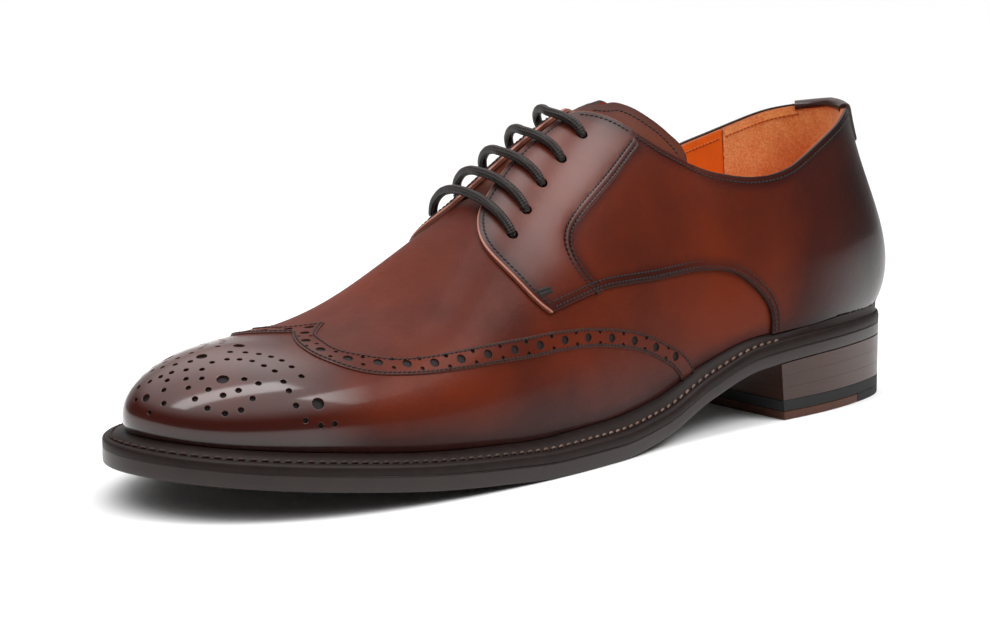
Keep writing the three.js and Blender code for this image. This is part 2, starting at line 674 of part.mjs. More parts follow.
addSolid('outsole', outsole, 'sole');
addSolid('welt', welt, 'edge');
addSolid('heel_rand', rand, 'edge');
addSolid('insole', insole, 'lining');
addSolid('heel_top_rubber', rubber, 'rubber');
addSolid('heel_top_inlay', inlay, 'inlay');
lifts.forEach((piece, k) => addSolid(`heel_lift_${k + 1}`, piece, 'stack'));
addSolid('upper', upper, 'calf');
addSolid('tongue', tongue, 'tongueCalf');
EYELETS.forEach((row, k) => addMesh(`lace_bar_${k + 1}`, laceBar(row), 'lace'));

// The origin is the middle of the heel on the floor
shoe.position.x = -BREAST_FOOT / 2;

export default shoe;
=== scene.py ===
import math

import bpy
import numpy as np
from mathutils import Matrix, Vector
from mathutils.geometry import delaunay_2d_cdt
from mathutils.kdtree import KDTree


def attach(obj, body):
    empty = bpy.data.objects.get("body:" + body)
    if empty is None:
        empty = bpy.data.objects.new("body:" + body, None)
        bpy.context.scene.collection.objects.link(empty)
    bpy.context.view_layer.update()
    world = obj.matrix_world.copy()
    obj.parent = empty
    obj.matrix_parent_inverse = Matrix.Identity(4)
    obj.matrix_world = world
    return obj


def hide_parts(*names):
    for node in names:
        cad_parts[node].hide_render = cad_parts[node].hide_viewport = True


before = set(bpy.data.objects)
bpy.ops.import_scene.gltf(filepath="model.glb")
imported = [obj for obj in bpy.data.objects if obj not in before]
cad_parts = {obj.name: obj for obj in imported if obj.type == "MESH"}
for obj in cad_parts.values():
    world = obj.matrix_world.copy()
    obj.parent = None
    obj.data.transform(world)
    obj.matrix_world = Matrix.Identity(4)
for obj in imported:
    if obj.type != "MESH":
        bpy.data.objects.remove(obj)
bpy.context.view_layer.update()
scene = bpy.context.scene

# Studio: a white floor, a long overhead softbox and a square one high up behind the heel on the camera's side.
# The camera stands in front of the outer side, a little above the vamp.
HEEL_MIDDLE = 33.0


def metres(points):
    return (np.asarray(points, float) - [HEEL_MIDDLE, 0, 0]) / 1000


class Signal:
    """A value that runs between the nodes of a finish, and takes part in sums."""

    def __init__(self, finish, socket):
        self.finish = finish
        self.socket = socket

    def sum_with(self, operation, *values):
        return self.finish.node("Math", {"operation": operation}, dict(enumerate(values)))

    def __add__(self, other):
        return self.sum_with("ADD", self, other)

    __radd__ = __add__

    def __sub__(self, other):
        return self.sum_with("SUBTRACT", self, other)

    def __rsub__(self, other):
        return self.sum_with("SUBTRACT", other, self)

    def __mul__(self, other):
        return self.sum_with("MULTIPLY", self, other)

    __rmul__ = __mul__

    def __truediv__(self, other):
        return self.sum_with("DIVIDE", self, other)

    def __pow__(self, other):
        return self.sum_with("POWER", self, other)

    def between(self, low, high):
        """0 below low, 1 above high, and a soft step from one to the other."""
        settings = {"interpolation_type": "SMOOTHSTEP"}
        return self.finish.node("MapRange", settings, {0: self, 1: low, 2: high, 3: 0.0, 4: 1.0})


class Finish:
    """A material with the nodes that colour it."""

    def __init__(self, name):
        self.material = bpy.data.materials.new(name)
        self.material.use_nodes = True
        self.tree = self.material.node_tree
        self.tree.nodes.clear()

    def node(self, kind, settings=None, sockets=None, out=0):
        made = self.tree.nodes.new("ShaderNode" + kind)
        for key, value in (settings or {}).items():
            if key == "stops":
                ramp = made.color_ramp.elements
                while len(ramp) < len(value):
                    ramp.new(0.5)
                for stop, (place, colour) in zip(ramp, value):
                    stop.position = place
                    stop.color = (*colour, 1)
            else:
                setattr(made, key, value)
        for key, value in (sockets or {}).items():
            if isinstance(value, Signal):
                self.tree.links.new(value.socket, made.inputs[key])
            elif isinstance(value, tuple) and len(value) == 3 and made.inputs[key].type == "RGBA":
                made.inputs[key].default_value = (*value, 1)
            else:
                made.inputs[key].default_value = value
        return Signal(self, made.outputs[out]) if len(made.outputs) else None

    def blend(self, factor, first, second, how="MIX"):
        settings = {"data_type": "RGBA", "blend_type": how}
        return self.node("Mix", settings, {0: factor, 6: first, 7: second}, out=2)

    def place(self):
        return self.node("TexCoord", out=3)

    def noise(self, size, detail=2.0, roughness=0.5, stretch=None):
        """Cloudy noise whose blots are about size millimetres."""
        spot = self.place()
        if stretch:
            spot = self.node("VectorMath", {"operation": "MULTIPLY"}, {0: spot, 1: stretch})
        sockets = {"Vector": spot, "Scale": 1000 / size, "Detail": detail, "Roughness": roughness}
        return self.node("TexNoise", None, sockets)

    def bump(self, height, depth, under=None):
        """A relief of depth millimetres where height runs from 0 to 1."""
        sockets = {"Strength": 1.0, "Distance": depth / 1000, "Height": height}
        if under:
            sockets["Normal"] = under
        return self.node("Bump", None, sockets)

    def surface(self, **sockets):
        shader = self.node("BsdfPrincipled", None, {k.replace("_", " "): v for k, v in sockets.items()})
        self.node("OutputMaterial", None, {"Surface": shader})
        return self.material


def floor():
    paint = Finish("floor_paint")
    soft = paint.noise(400, 1)
    paper = paint.surface(Base_Color=paint.blend(soft, (0.86, 0.86, 0.86), (0.9, 0.9, 0.9)), Roughness=0.9)
    mesh = bpy.data.meshes.new("floor")
    mesh.from_pydata([(-4, -4, 0), (4, -4, 0), (4, 4, 0), (-4, 4, 0)], [], [(0, 1, 2, 3)])
    mesh.materials.append(paper)
    made = bpy.data.objects.new("floor", mesh)
    scene.collection.objects.link(made)


def softbox(name, width, depth, place, aim, power, colour=(1, 1, 1)):
    lamp = bpy.data.lights.new(name, "AREA")
    lamp.shape = "RECTANGLE"
    lamp.size, lamp.size_y = width, depth
    lamp.energy = power
    lamp.color = colour
    made = bpy.data.objects.new(name, lamp)
    made.location = place
    if aim:
        made.rotation_euler = (Vector(aim) - Vector(place)).to_track_quat("-Z", "Y").to_euler()
    scene.collection.objects.link(made)


floor()
MIDDLE = (0.12, 0, 0.05)
softbox("overhead_strip", 0.8, 0.17, (0.45, 0.03, 0.64), None, 2.4)
softbox("rear_box", 0.4, 0.4, (-0.16, 0.46, 0.72), (0.1, 0.02, 0.08), 3.6)
sky = bpy.data.worlds.new("studio_walls")
sky.use_nodes = True

def studio_walls(tree):
    """A white ceiling and back wall, and a dark room behind the camera."""
    made = Finish.__new__(Finish)
    made.tree = tree
    toward = made.node("TexCoord")
    high = made.node("SeparateXYZ", None, {0: toward}, out=2)
    back = made.node("VectorMath", {"operation": "DOT_PRODUCT"}, {0: toward, 1: (-0.64, -0.77, 0.0)}, out=1)
    glow = high.between(0.35, 0.85) * 1.65 + back.between(0.3, 0.9) * 0.45 + 0.04
    tree.links.new(glow.socket, tree.nodes["Background"].inputs[1])
    tree.nodes["Background"].inputs[0].default_value = (1, 1, 1, 1)


studio_walls(sky.node_tree)
scene.world = sky
scene.view_settings.view_transform = "Standard"

lens = bpy.data.cameras.new("camera")
lens.lens = 103.4
lens.sensor_width = 36
lens.clip_end = 20
camera = bpy.data.objects.new("camera", lens)
camera.location = metres((735.0, 678.7, 201.7))
aim = Vector(metres((165.5, 0, 43.8)))
camera.rotation_euler = (aim - camera.location).to_track_quat("-Z", "Y").to_euler()
scene.collection.objects.link(camera)
scene.camera = camera

# The last: the upper's form, with ribs that rise from the feather line to the crest.
# Columns of ribs: turn, crest, outer and inner side, bulge, rise and reach of both sides, drop, welt.
LAST_LENGTH, LAST_BACK, LAST_WIDTH, INSTEP_HEIGHT = 296.0, 2.0, 86.0, 92.0
HEEL_RISE, TOE_SPRING, WELT_WIDTH, WELT_RISE = 21.0, 12.3, 8.5, 4.2
SEAT_THICKNESS, OUTSOLE_THICKNESS, WELT_THICKNESS = 4.3, 5.1, 2.8
RIBS = np.array([
    (0, 0.044, 0, 0, 0.128, 0.128, 0.25, 0.25, 0.017, 0.017, 0.38, 0.376, 0.376),
    (15, 0.066, 0.169, 0.157, 0.145, 0.145, 0.25, 0.25, 0.017, 0.017, 0.38, 0.353, 0.353),
    (30, 0.118, 0.263, 0.263, 0.11, 0.11, 0.239, 0.239, 0.023, 0.023, 0.38, 0.329, 0.329),
    (45, 0.203, 0.32, 0.321, 0.076, 0.076, 0.239, 0.239, 0.035, 0.035, 0.37, 0.329, 0.353),
    (60, 0.311, 0.329, 0.302, 0.052, 0.041, 0.25, 0.261, 0.13, 0.12, 0.2, 0.4, 0.424),
    (75, 0.419, 0.337, 0.285, 0.047, 0.023, 0.272, 0.304, 0.235, 0.22, 0.02, 0.612, 0.541),
    (90, 0.524, 0.401, 0.366, 0.052, 0.035, 0.304, 0.326, 0.244, 0.221, 0.011, 0.824, 0.824),
    (105, 0.628, 0.448, 0.494, 0.064, 0.058, 0.293, 0.326, 0.279, 0.233, 0, 0.941, 1),
    (120, 0.726, 0.451, 0.544, 0.07, 0.064, 0.272, 0.293, 0.279, 0.233, 0, 1, 1.059),
    (135, 0.804, 0.401, 0.483, 0.064, 0.058, 0.239, 0.25, 0.244, 0.244, 0, 1, 1.059),
    (150, 0.851, 0.297, 0.355, 0.047, 0.047, 0.196, 0.196, 0.221, 0.233, 0, 0.918, 1),
    (165, 0.872, 0.134, 0.198, 0.052, 0.052, 0.163, 0.163, 0.209, 0.221, 0, 0.776, 0.824),
    (180, 0.878, -0.052, 0.052, 0.076, 0.076, 0.158, 0.158, 0.209, 0.209, 0, 0.706, 0.706),
])
CREST = [
    (-0.074, 0.876), (0.027, 0.88), (0.128, 0.894), (0.23, 0.946), (0.318, 0.994),
    (0.402, 1.011), (0.449, 0.989), (0.5, 0.921), (0.584, 0.744), (0.642, 0.607),
    (0.703, 0.46), (0.77, 0.355), (0.821, 0.317), (0.878, 0.295), (1.007, 0.248),
]
CREST_SIDE = [(-0.058, 0), (0.332, -0.006), (0.599, -0.023), (0.743, -0.047), (0.876, -0.052), (1.02, -0.052)]
OPENING = [(0, 0), (8, 0.081), (15, 0.145), (30, 0.227), (45, 0.244), (55, 0.174), (62, 0.07), (67, 0), (180, 0)]
SOLE_LINE = [
    (-0.058, 1.01, 0), (-0.007, 1, 0), (0.127, 0.98, 0), (0.25, 0.88, 0), (0.332, 0.57, 0),
    (0.414, 0.152, 0), (0.496, 0, 0), (0.585, 0, 0), (0.671, 0, 0.13), (0.753, 0, 0.29),
    (0.856, 0, 0.57), (0.938, 0, 0.79), (1.02, 0, 1), (1.072, 0, 1.1),
]
WELT_LIFT = [(-0.058, 0.714), (0.199, 0.762), (0.353, 1), (0.455, 1), (0.609, 0.714), (0.764, 0.571), (1.072, 0.571)]


def along(share):
    return LAST_BACK + np.asarray(share, float) * LAST_LENGTH


def curve(xs, ys, slopes):
    """A line through rows with given slopes, level beyond its ends."""
    def value(x):
        x = np.clip(x, xs[0], xs[-1])
        i = np.clip(np.searchsorted(xs, x) - 1, 0, len(xs) - 2)
        span = xs[i + 1] - xs[i]
        s = (x - xs[i]) / span
        rest = 1 - s
        start = rest * rest * ((1 + 2 * s) * ys[i] + s * span * slopes[i])
        return start + s * s * ((3 - 2 * s) * ys[i + 1] - rest * span * slopes[i + 1])
    return value


def smooth(xs, ys, loop):
    """A line that bends evenly through its rows, and runs into itself where it is a loop."""
    xs, ys = np.asarray(xs, float), np.asarray(ys, float)
    last = len(xs) - 1
    pulls, known = np.zeros((last + 1, last + 1)), np.zeros(last + 1)
    for i in range(last + 1):
        if not loop and i in (0, last):
            near = 1 if i == 0 else last - 1
            pulls[i, i], pulls[i, near] = 2, 1
            known[i] = 3 * (ys[near] - ys[i]) / (xs[near] - xs[i])
            continue
        before, after = (last - 1 if i == 0 else i - 1), (1 if i == last else i + 1)
        back = xs[last] - xs[last - 1] if i == 0 else xs[i] - xs[i - 1]
        ahead = xs[1] - xs[0] if i == last else xs[i + 1] - xs[i]
        pulls[i, i] = 2 * (back + ahead)
        pulls[i, before] += ahead
        pulls[i, after] += back
        known[i] = 3 * (ahead * (ys[i] - ys[before]) / back + back * (ys[after] - ys[i]) / ahead)
    return curve(xs, ys, np.linalg.solve(pulls, known))


def steady(xs, ys):
    """A line that never swings past its rows, so that level stretches stay level."""
    xs, ys = np.asarray(xs, float), np.asarray(ys, float)
    span = np.diff(xs)
    rate = np.diff(ys) / span
    slopes = np.zeros(len(xs))
    slopes[0], slopes[-1] = rate[0], rate[-1]
    for i in range(1, len(xs) - 1):
        if rate[i - 1] * rate[i] > 0:
            near, far = 2 * span[i] + span[i - 1], span[i] + 2 * span[i - 1]
            slopes[i] = (near + far) / (near / rate[i - 1] + far / rate[i])
    return curve(xs, ys, slopes)


def column(rows, k):
    return np.array([row[k] for row in rows], float)


sole_low = steady(along(column(SOLE_LINE, 0)), column(SOLE_LINE, 1) * HEEL_RISE + column(SOLE_LINE, 2) * TOE_SPRING)
sole_thick = steady(along([-0.06, 0.3, 0.5, 1.06]), [SEAT_THICKNESS] * 2 + [OUTSOLE_THICKNESS] * 2)
welt_lift = steady(along(column(WELT_LIFT, 0)), column(WELT_LIFT, 1) * WELT_RISE)


def sole_high(x):
    return sole_low(x) + sole_thick(x)


def welt_edge(x):
    return sole_high(x) + WELT_THICKNESS


def feather(x):
    return welt_edge(x) + welt_lift(x)


def around(outer, inner, scale, sign=1):
    """Values of the ribs all the way round, the outer side first."""
    turns = np.r_[RIBS[:, 0], 360 - RIBS[-2::-1, 0]]
    values = np.r_[RIBS[:, outer], sign * RIBS[-2::-1, inner]] * scale
    values[-1] = values[0]
    return smooth(turns, values, True)


side = around(2, 3, LAST_WIDTH, -1)
crest_share = around(1, 1, LAST_LENGTH)
bulge = around(4, 5, LAST_WIDTH)
rise = around(6, 7, INSTEP_HEIGHT)
reach = around(8, 9, LAST_WIDTH)
drop = around(10, 10, INSTEP_HEIGHT)
welt_out = around(11, 12, WELT_WIDTH)
crest_height = smooth(along(column(CREST, 0)), column(CREST, 1) * INSTEP_HEIGHT, False)
crest_side = steady(along(column(CREST_SIDE, 0)), column(CREST_SIDE, 1) * LAST_WIDTH)
opening = steady(column(OPENING, 0), column(OPENING, 1) * LAST_WIDTH)


def crest_line(x):
    return feather(x) + crest_height(x)


def unit(vectors):
    return vectors / np.maximum(np.linalg.norm(vectors, axis=-1, keepdims=True), 1e-9)


def feather_x(turn):
    return LAST_BACK + LAST_LENGTH * (1 - np.cos(np.radians(turn))) / 2


def outward(turn):
    """The direction straight out from the feather line."""
    ahead, behind = turn + 0.05, turn - 0.05
    run_x = feather_x(ahead) - feather_x(behind)
    run_y = side(np.mod(ahead, 360)) - side(np.mod(behind, 360))
    return unit(np.stack([-run_y, run_x], -1))


def rib_ends(at):
    turn = np.mod(at, 360.0)
    foot = np.stack([feather_x(turn), side(turn), feather(feather_x(turn))], -1)
    folded = np.where(turn <= 180, turn, 360 - turn)
    half = np.where(turn <= 180, 1, -1) * opening(folded)
    top_x = LAST_BACK + crest_share(turn)
    return turn, foot, np.stack([top_x, crest_side(top_x) + half, crest_line(top_x)], -1)


def skin(at, up):
    """A point on the upper: at turns round the sole, up runs from the feather line to the crest."""
    at, up = np.broadcast_arrays(np.asarray(at, float), np.asarray(up, float))
    turn, foot, top = rib_ends(at)
    out = outward(turn) * bulge(turn)[..., None]
    low = foot + np.concatenate([out, rise(turn)[..., None]], -1)
    to_foot = unit((foot - top)[..., :2])
    pitch = (crest_line(top[..., 0] + 0.05) - crest_line(top[..., 0] - 0.05)) / 0.1
    flat = to_foot * reach(turn)[..., None]
    high = top + np.concatenate([flat, (pitch * flat[..., 0] - drop(turn))[..., None]], -1)
    s = up[..., None]
    rest = 1 - s
    return rest**3 * foot + 3 * rest**2 * s * low + 3 * rest * s**2 * high + s**3 * top


def leans(at, up):
    """How the skin runs with at and with up, and the direction straight out of the leather."""
    level = np.minimum(up, 0.985)
    low = np.maximum(level - 0.01, 0)
    run = skin(at + 0.5, level) - skin(at - 0.5, level)
    climb = (skin(at, level + 0.01) - skin(at, low)) / (level + 0.01 - low)[..., None]
    out = unit(np.cross(climb, run))
    out[..., 2] = np.where(up <= 0, 0, out[..., 2])
    return run, climb, unit(out)


def layer(at, up, depth):
    """A point a set depth outside the skin, shared by both sides along the closed crest."""
    at, up, depth = np.broadcast_arrays(*(np.asarray(v, float) for v in (at, up, depth)))
    out = leans(at, up)[2]
    turn = np.mod(at, 360)
    shut = (up >= 1) & (opening(np.where(turn <= 180, turn, 360 - turn)) == 0)
    out = unit(np.where(shut[..., None], out + leans(360 - at, up)[2], out))
    return skin(at, up) + out * depth[..., None]


TURNS = np.arange(361.0)
RIB_LENGTHS = np.linalg.norm(np.diff(skin(TURNS[:, None], np.linspace(0, 1, 25)), axis=1), axis=2).sum(1)


def spread(at, up):
    """The skin laid out flat like a fan, where the leather is cut and joined."""
    turn, foot, top = rib_ends(at)
    length = np.interp(turn, TURNS, RIB_LENGTHS) * (1 - np.asarray(up, float))
    return top[..., :2] + unit((foot - top)[..., :2]) * length[..., None]


# Cutting the leather: lines are drawn on the skin as turns and heights, at an even pitch.
# A panel is cut out along its edge, punched, bevelled along every cut and given its thickness.
def bend(rows, steps=24):
    rows = np.asarray(rows, float)
    row = np.vstack([rows[:1], rows, rows[-1:]])
    s = np.linspace(0, 1, steps, endpoint=False)[:, None]
    spans = []
    for i in range(1, len(row) - 2):
        lean, next_lean = (row[i + 1] - row[i - 1]) / 2, (row[i + 2] - row[i]) / 2
        gap = row[i + 1] - row[i]
        spans.append(row[i] + s * lean + s**2 * (3 * gap - 2 * lean - next_lean) + s**3 * (lean + next_lean - 2 * gap))
    return np.vstack(spans + [rows[-1:]])


def even(line, pitch):
    run = np.r_[0, np.cumsum(np.linalg.norm(np.diff(skin(*line.T), axis=0), axis=1))]
    marks = np.linspace(0, run[-1], max(2, round(run[-1] / pitch) + 1))
    return np.stack([np.interp(marks, run, line[:, 0]), np.interp(marks, run, line[:, 1])], 1)


def drawn(rows, pitch=0.9, soften=0):
    line = even(bend(rows), pitch)
    for _ in range(soften):
        line[1:-1] = (line[:-2] + 2 * line[1:-1] + line[2:]) / 4
    return line


def seek(points, axes, sign, depth=1.5, least=0.0):
    """Where a line drawn from the side or from above lies on one side of the skin."""
    points = np.asarray(points, float)
    turns = np.linspace(1, 179, 179) if sign > 0 else np.linspace(181, 359, 179)
    at, up = (v.ravel() for v in np.meshgrid(turns, np.linspace(least, 1, 61)))
    flat = layer(at, up, depth)[:, axes]
    first = np.array([np.argmin(((flat - point) ** 2).sum(1)) for point in points])
    spot = np.stack([at[first], up[first]], 1)
    for _ in range(12):
        here = layer(*spot.T, depth)[:, axes]
        by_at = (layer(spot[:, 0] + 0.1, spot[:, 1], depth)[:, axes] - here) / 0.1
        by_up = (layer(spot[:, 0], spot[:, 1] - 0.002, depth)[:, axes] - here) / -0.002
        miss = points - here
        area = by_at[:, 0] * by_up[:, 1] - by_at[:, 1] * by_up[:, 0]
        area = np.where(np.abs(area) < 1e-3, 1e-3, area)
        spot[:, 0] += np.clip((miss[:, 0] * by_up[:, 1] - miss[:, 1] * by_up[:, 0]) / area, -3, 3)
        spot[:, 1] += np.clip((by_at[:, 0] * miss[:, 1] - by_at[:, 1] * miss[:, 0]) / area, -0.06, 0.06)
        spot[:, 1] = np.clip(spot[:, 1], 0, 1)
    return spot


def moved(line, step):
    """Places moved along the skin by a step in millimetres, over the crest where they pass it."""
    run, climb, out = leans(*line.T)
    aa, bb, ab = (run * run).sum(1), (climb * climb).sum(1), (run * climb).sum(1)
    sa, sb = (step * run).sum(1), (step * climb).sum(1)
    area = aa * bb - ab * ab
    made = line + np.stack([(sa * bb - sb * ab) / area, (sb * aa - sa * ab) / area], 1)
    over = made[:, 1] > 1
    made[over] = np.stack([360 - made[over, 0], 2 - made[over, 1]], 1)
    return made


def beside(line, width, closed=False):
    """A line beside a line, to its left seen from outside."""
    here = skin(*line.T)
    run = np.roll(here, -1, 0) - np.roll(here, 1, 0) if closed else np.gradient(here, axis=0)
    across = np.cross(leans(*line.T)[2], unit(run))
    return moved(line, across * width)


def punch(at, up, width, count=12):
    """The edge of a round hole."""
    line = np.array([(at, up)] * count, float)
    run, climb, out = leans(*line.T)
    first = unit(run)
    turn = np.arange(count)[:, None] * 2 * math.pi / count
    return moved(line, (np.cos(turn) * first + np.sin(turn) * np.cross(out, first)) * width / 2)


def mirrored(line):
    return np.stack([360 - line[:, 0], line[:, 1]], 1)


def within(points, loops):
    """Whether flat points lie inside the edge and outside the holes."""
    inside = np.zeros(len(points), bool)
    for loop in loops:
        ahead = np.roll(loop, -1, 0)
        low, high = np.minimum(loop, ahead).min(0), np.maximum(loop, ahead).max(0)
        near = np.where(((points >= low) & (points <= high)).all(1))[0]
        if len(near):
            x, y = points[near, 0, None], points[near, 1, None]
            spans = (loop[:, 1] > y) != (ahead[:, 1] > y)
            rate = (ahead[:, 0] - loop[:, 0]) / np.where(ahead[:, 1] == loop[:, 1], 1e-12, ahead[:, 1] - loop[:, 1])
            inside[near] ^= (spans & (x < loop[:, 0] + (y - loop[:, 1]) * rate)).sum(1) % 2 == 1
    return inside


def tree_of(points):
    tree = KDTree(len(points))
    for i, point in enumerate(points):
        tree.insert(point, i)
    tree.balance()
    return tree


def reach_to(points, others):
    tree = tree_of(others)
    return np.array([tree.find(point)[2] for point in points])


def field(pitch):
    """Places all over the skin, a pitch apart, in staggered rows."""
    rows = []
    count = round(95 / pitch)
    for k in range(count + 1):
        turns = np.linspace(0, 180 if k == count else 360, 721)
        run = np.r_[0, np.cumsum(np.linalg.norm(np.diff(skin(turns, k / count), axis=0), axis=1))]
        marks = (np.arange(max(4, round(run[-1] / pitch))) + 0.5 * (k % 2)) * run[-1] / max(4, round(run[-1] / pitch))
        rows.append(np.stack([np.interp(marks, run, turns), np.full(len(marks), k / count)], 1))
    return np.vstack(rows)


def assemble(name, points, faces, finishes, looks=None, slot=None, nodes=(), marks=None, sharp=50, leaning=None):
    """An object of the shoe, from points in the shoe's own millimetres."""
    mesh = bpy.data.meshes.new(name)
    mesh.from_pydata(metres(points).tolist(), [], [list(map(int, face)) for face in faces])
    mesh.polygons.foreach_set("use_smooth", [True] * len(mesh.polygons))
    if leaning is None:
        mesh.set_sharp_from_angle(angle=math.radians(sharp))
    else:
        mesh.normals_split_custom_set(leaning.tolist())
    for finish in finishes:
        mesh.materials.append(finish)
    if looks is not None:
        mesh.polygons.foreach_set("material_index", np.asarray(looks, "i4"))
    for mark, values in (marks or {}).items():
        kind = "FLOAT" if np.ndim(values) == 1 else "FLOAT_VECTOR"
        layer_ = mesh.attributes.new(mark, kind, "POINT")
        layer_.data.foreach_set("value" if kind == "FLOAT" else "vector", np.asarray(values, "f4").ravel())
    made = bpy.data.objects.new(name, mesh)
    scene.collection.objects.link(made)
    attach(made, "root")
    if nodes:
        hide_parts(*nodes)
    return made


def panel(name, edge, finishes, holes=(), grooves=(), outer=0.0, inner=-1.5, pitch=1.9, bevel=0.45, swells=(), raw=None, **about):
    """A piece of leather cut along its edge. Grooves are (line, depth, width), swells (at, up, size, height)."""
    loops = [edge, *holes]
    flats = [spread(*loop.T) for loop in loops]
    rims = np.vstack(loops)
    spots, spans = [rims], [skin(*rims.T)]

    def add(line, gap):
        line = line[(line[:, 1] > 0) & (line[:, 1] <= 1)]
        line = line[within(spread(*line.T), flats)]
        if len(line):
            here = skin(*line.T)
            line, here = (v[reach_to(here, np.vstack(spans)) > gap] for v in (line, here))
            if len(line):
                spots.append(line)
                spans.append(here)

    for width in (0.14, 0.45) if holes else ():
        for loop in holes:
            for turn in (-1, 1):
                add(beside(loop, turn * width, True), width * 0.7)
    for width in (0.4, 1.0, 2.2, 3.8):
        for turn in (-1, 1):
            add(beside(edge, turn * width, True), width * 0.75)
    for line, depth, width in grooves:
        for step in (0, -0.8 * width, 0.8 * width):
            add(beside(line, step), 0.3)
    add(field(pitch), pitch * 0.55)
    spot, here = np.vstack(spots), np.vstack(spans)
    ring = []
    start = 0
    for loop in loops:
        ring += [(start + i, start + (i + 1) % len(loop)) for i in range(len(loop))]
        start += len(loop)
    flat = spread(*spot.T)
    made = delaunay_2d_cdt([Vector(p) for p in flat.tolist()], ring, [], 0, 1e-6, True)
    came = np.array([ids[0] if ids else -1 for ids in made[3]])
    tri = came[np.array([face for face in made[2]])]
    tri = tri[(tri >= 0).all(1)]
    tri = tri[within(flat[tri].mean(1), flats)]
    gap = reach_to(here, skin(*edge.T))
    sink = bevel - np.sqrt(np.clip(bevel**2 - np.clip(bevel - gap, 0, None) ** 2, 0, None))
    if holes:
        to_hole = reach_to(here, skin(*np.vstack(holes).T))
        sink = sink + 0.12 - np.sqrt(np.clip(0.0144 - np.clip(0.12 - to_hole, 0, None) ** 2, 0, None))
    for line, depth, width in grooves:
        sink = sink + depth * np.exp(-(reach_to(here, skin(*line.T)) / width) ** 2)
    raised = np.zeros(len(spot))
    for at, up, size, height in swells:
        raised += height * np.exp(-(((here - skin(at, up)) / size) ** 2).sum(1))
    top = layer(*spot.T, outer + raised - sink)
    bottom = layer(*spot.T, inner + raised)
    corner = top[tri]
    facing = np.cross(corner[:, 1] - corner[:, 0], corner[:, 2] - corner[:, 0])
    turned = (facing * leans(*spot[tri[:, 0]].T)[2]).sum(1) < 0
    tri[turned] = tri[turned][:, ::-1]
    corner = top[tri]
    facing = np.cross(corner[:, 1] - corner[:, 0], corner[:, 2] - corner[:, 0])
    even_out = np.zeros_like(top)
    for k in range(3):
        np.add.at(even_out, tri[:, k], facing)
    level_out = unit(layer(*spot.T, 1.0) - layer(*spot.T, 0.0))
    mix = np.clip(sink / 0.05 + np.abs(raised) / 0.02, 0, 1)[:, None]
    out = unit(level_out * (1 - mix) + unit(even_out) * mix)
    count = len(spot)
    sides = {(a, b) for face in tri.tolist() for a, b in zip(face, face[1:] + face[:1])}
    walls = [(b, a, a + count, b + count) for a, b in sides if (b, a) not in sides]
    faces = tri.tolist() + (tri[:, ::-1] + count).tolist() + walls
    to_raw = gap if raw is None else reach_to(here, skin(*raw.T))
    cut = [3 if len(finishes) > 3 and to_raw[wall[0]] > 1 else 2 for wall in walls]
    looks = [0] * len(tri) + [1] * len(tri) + cut
    both = np.vstack([top, bottom])
    wall = both[np.array(walls)]
    across = unit(np.cross(wall[:, 1] - wall[:, 0], wall[:, 3] - wall[:, 0]))
    about["leaning"] = np.vstack([out[tri].reshape(-1, 3), -level_out[tri[:, ::-1]].reshape(-1, 3), np.repeat(across, 4, 0)])
    marks = {"rim": np.tile(gap, 2), "raw": np.tile(to_raw, 2)}
    print(name, len(faces), "faces")
    return assemble(name, np.vstack([top, bottom]), faces, finishes, looks, marks=marks, **about)


# Vamp: burnished calf drawn over the toe of the last and tucked under the facings.
# The toe is punched with a medallion of 3.4 and 1.7 mm holes, with near-black discs under them as painted shade inside
# the holes.
def calf(name, dark=(0.009, 0.0027, 0.0022), mid=(0.037, 0.0045, 0.0018), warm=(0.12, 0.0155, 0.0032), seam=0.25, edge=None, sheen=0.0, deep=0.0):
    leather = Finish(name)
    rim = leather.node("Attribute", {"attribute_name": "rim"}, out=2)
    x = leather.node("SeparateXYZ", None, {0: leather.place()})
    z = leather.node("SeparateXYZ", None, {0: leather.place()}, out=2)
    cloud = leather.noise(45, 2, 0.5)
    fine = leather.noise(7, 4, 0.6)
    toe = x.between(0.16, 0.275)
    heel = 1 - x.between(-0.03, 0.045)
    low = 1 - z.between(0.013, 0.036)
    high = z.between(0.085, 0.13)
    sewn = 1 - rim.between(0.3, 6.0)
    burn = toe * 0.4 + heel * 0.85 + low * 0.32 + high * 0.2 + sewn * seam + (cloud - 0.5) * 0.9 + (fine - 0.5) * 0.16 + 0.12 + deep
    burn = burn.sum_with("MINIMUM", burn.sum_with("MAXIMUM", burn, 0.0), 1.0)
    colour = leather.node("ValToRGB", {"stops": [(0.0, warm), (0.45, mid), (1.0, dark)]}, {0: burn})
    # Along raw edges the colour turns to the edge colour: inked dark on the quarter and band, and pinkish on the
    # facings, where it is partly a painted highlight.
    if edge:
        raw = leather.node("Attribute", {"attribute_name": "raw"}, out=2)
        colour = leather.blend(1 - raw.between(0.2, 0.62), colour, edge)
    shine = x.between(0.205, 0.235) + (1 - x.between(-0.01, 0.03)) * (1 - z.between(0.045, 0.08)) * 0.6 + low * 0.2
    shine = shine.sum_with("MINIMUM", shine, 1.0)
    grain = leather.noise(0.8, 3, 0.65)
    creased = leather.noise(2.6, 3, 0.6)
    lit = z.between(0.045, 0.085) * sheen
    relief = leather.bump(grain * (1.3 - shine), 0.055, leather.bump(creased * (1.3 - shine), 0.08))
    return leather.surface(
        Base_Color=colour, Roughness=0.46 - shine * 0.1 + (fine - 0.5) * 0.14 + (grain - 0.5) * 0.12, Normal=relief,
        Coat_Weight=shine * (0.9 - sheen) + 0.02 + lit, Coat_Roughness=0.12 + sheen * 0.4, Specular_IOR_Level=0.11)


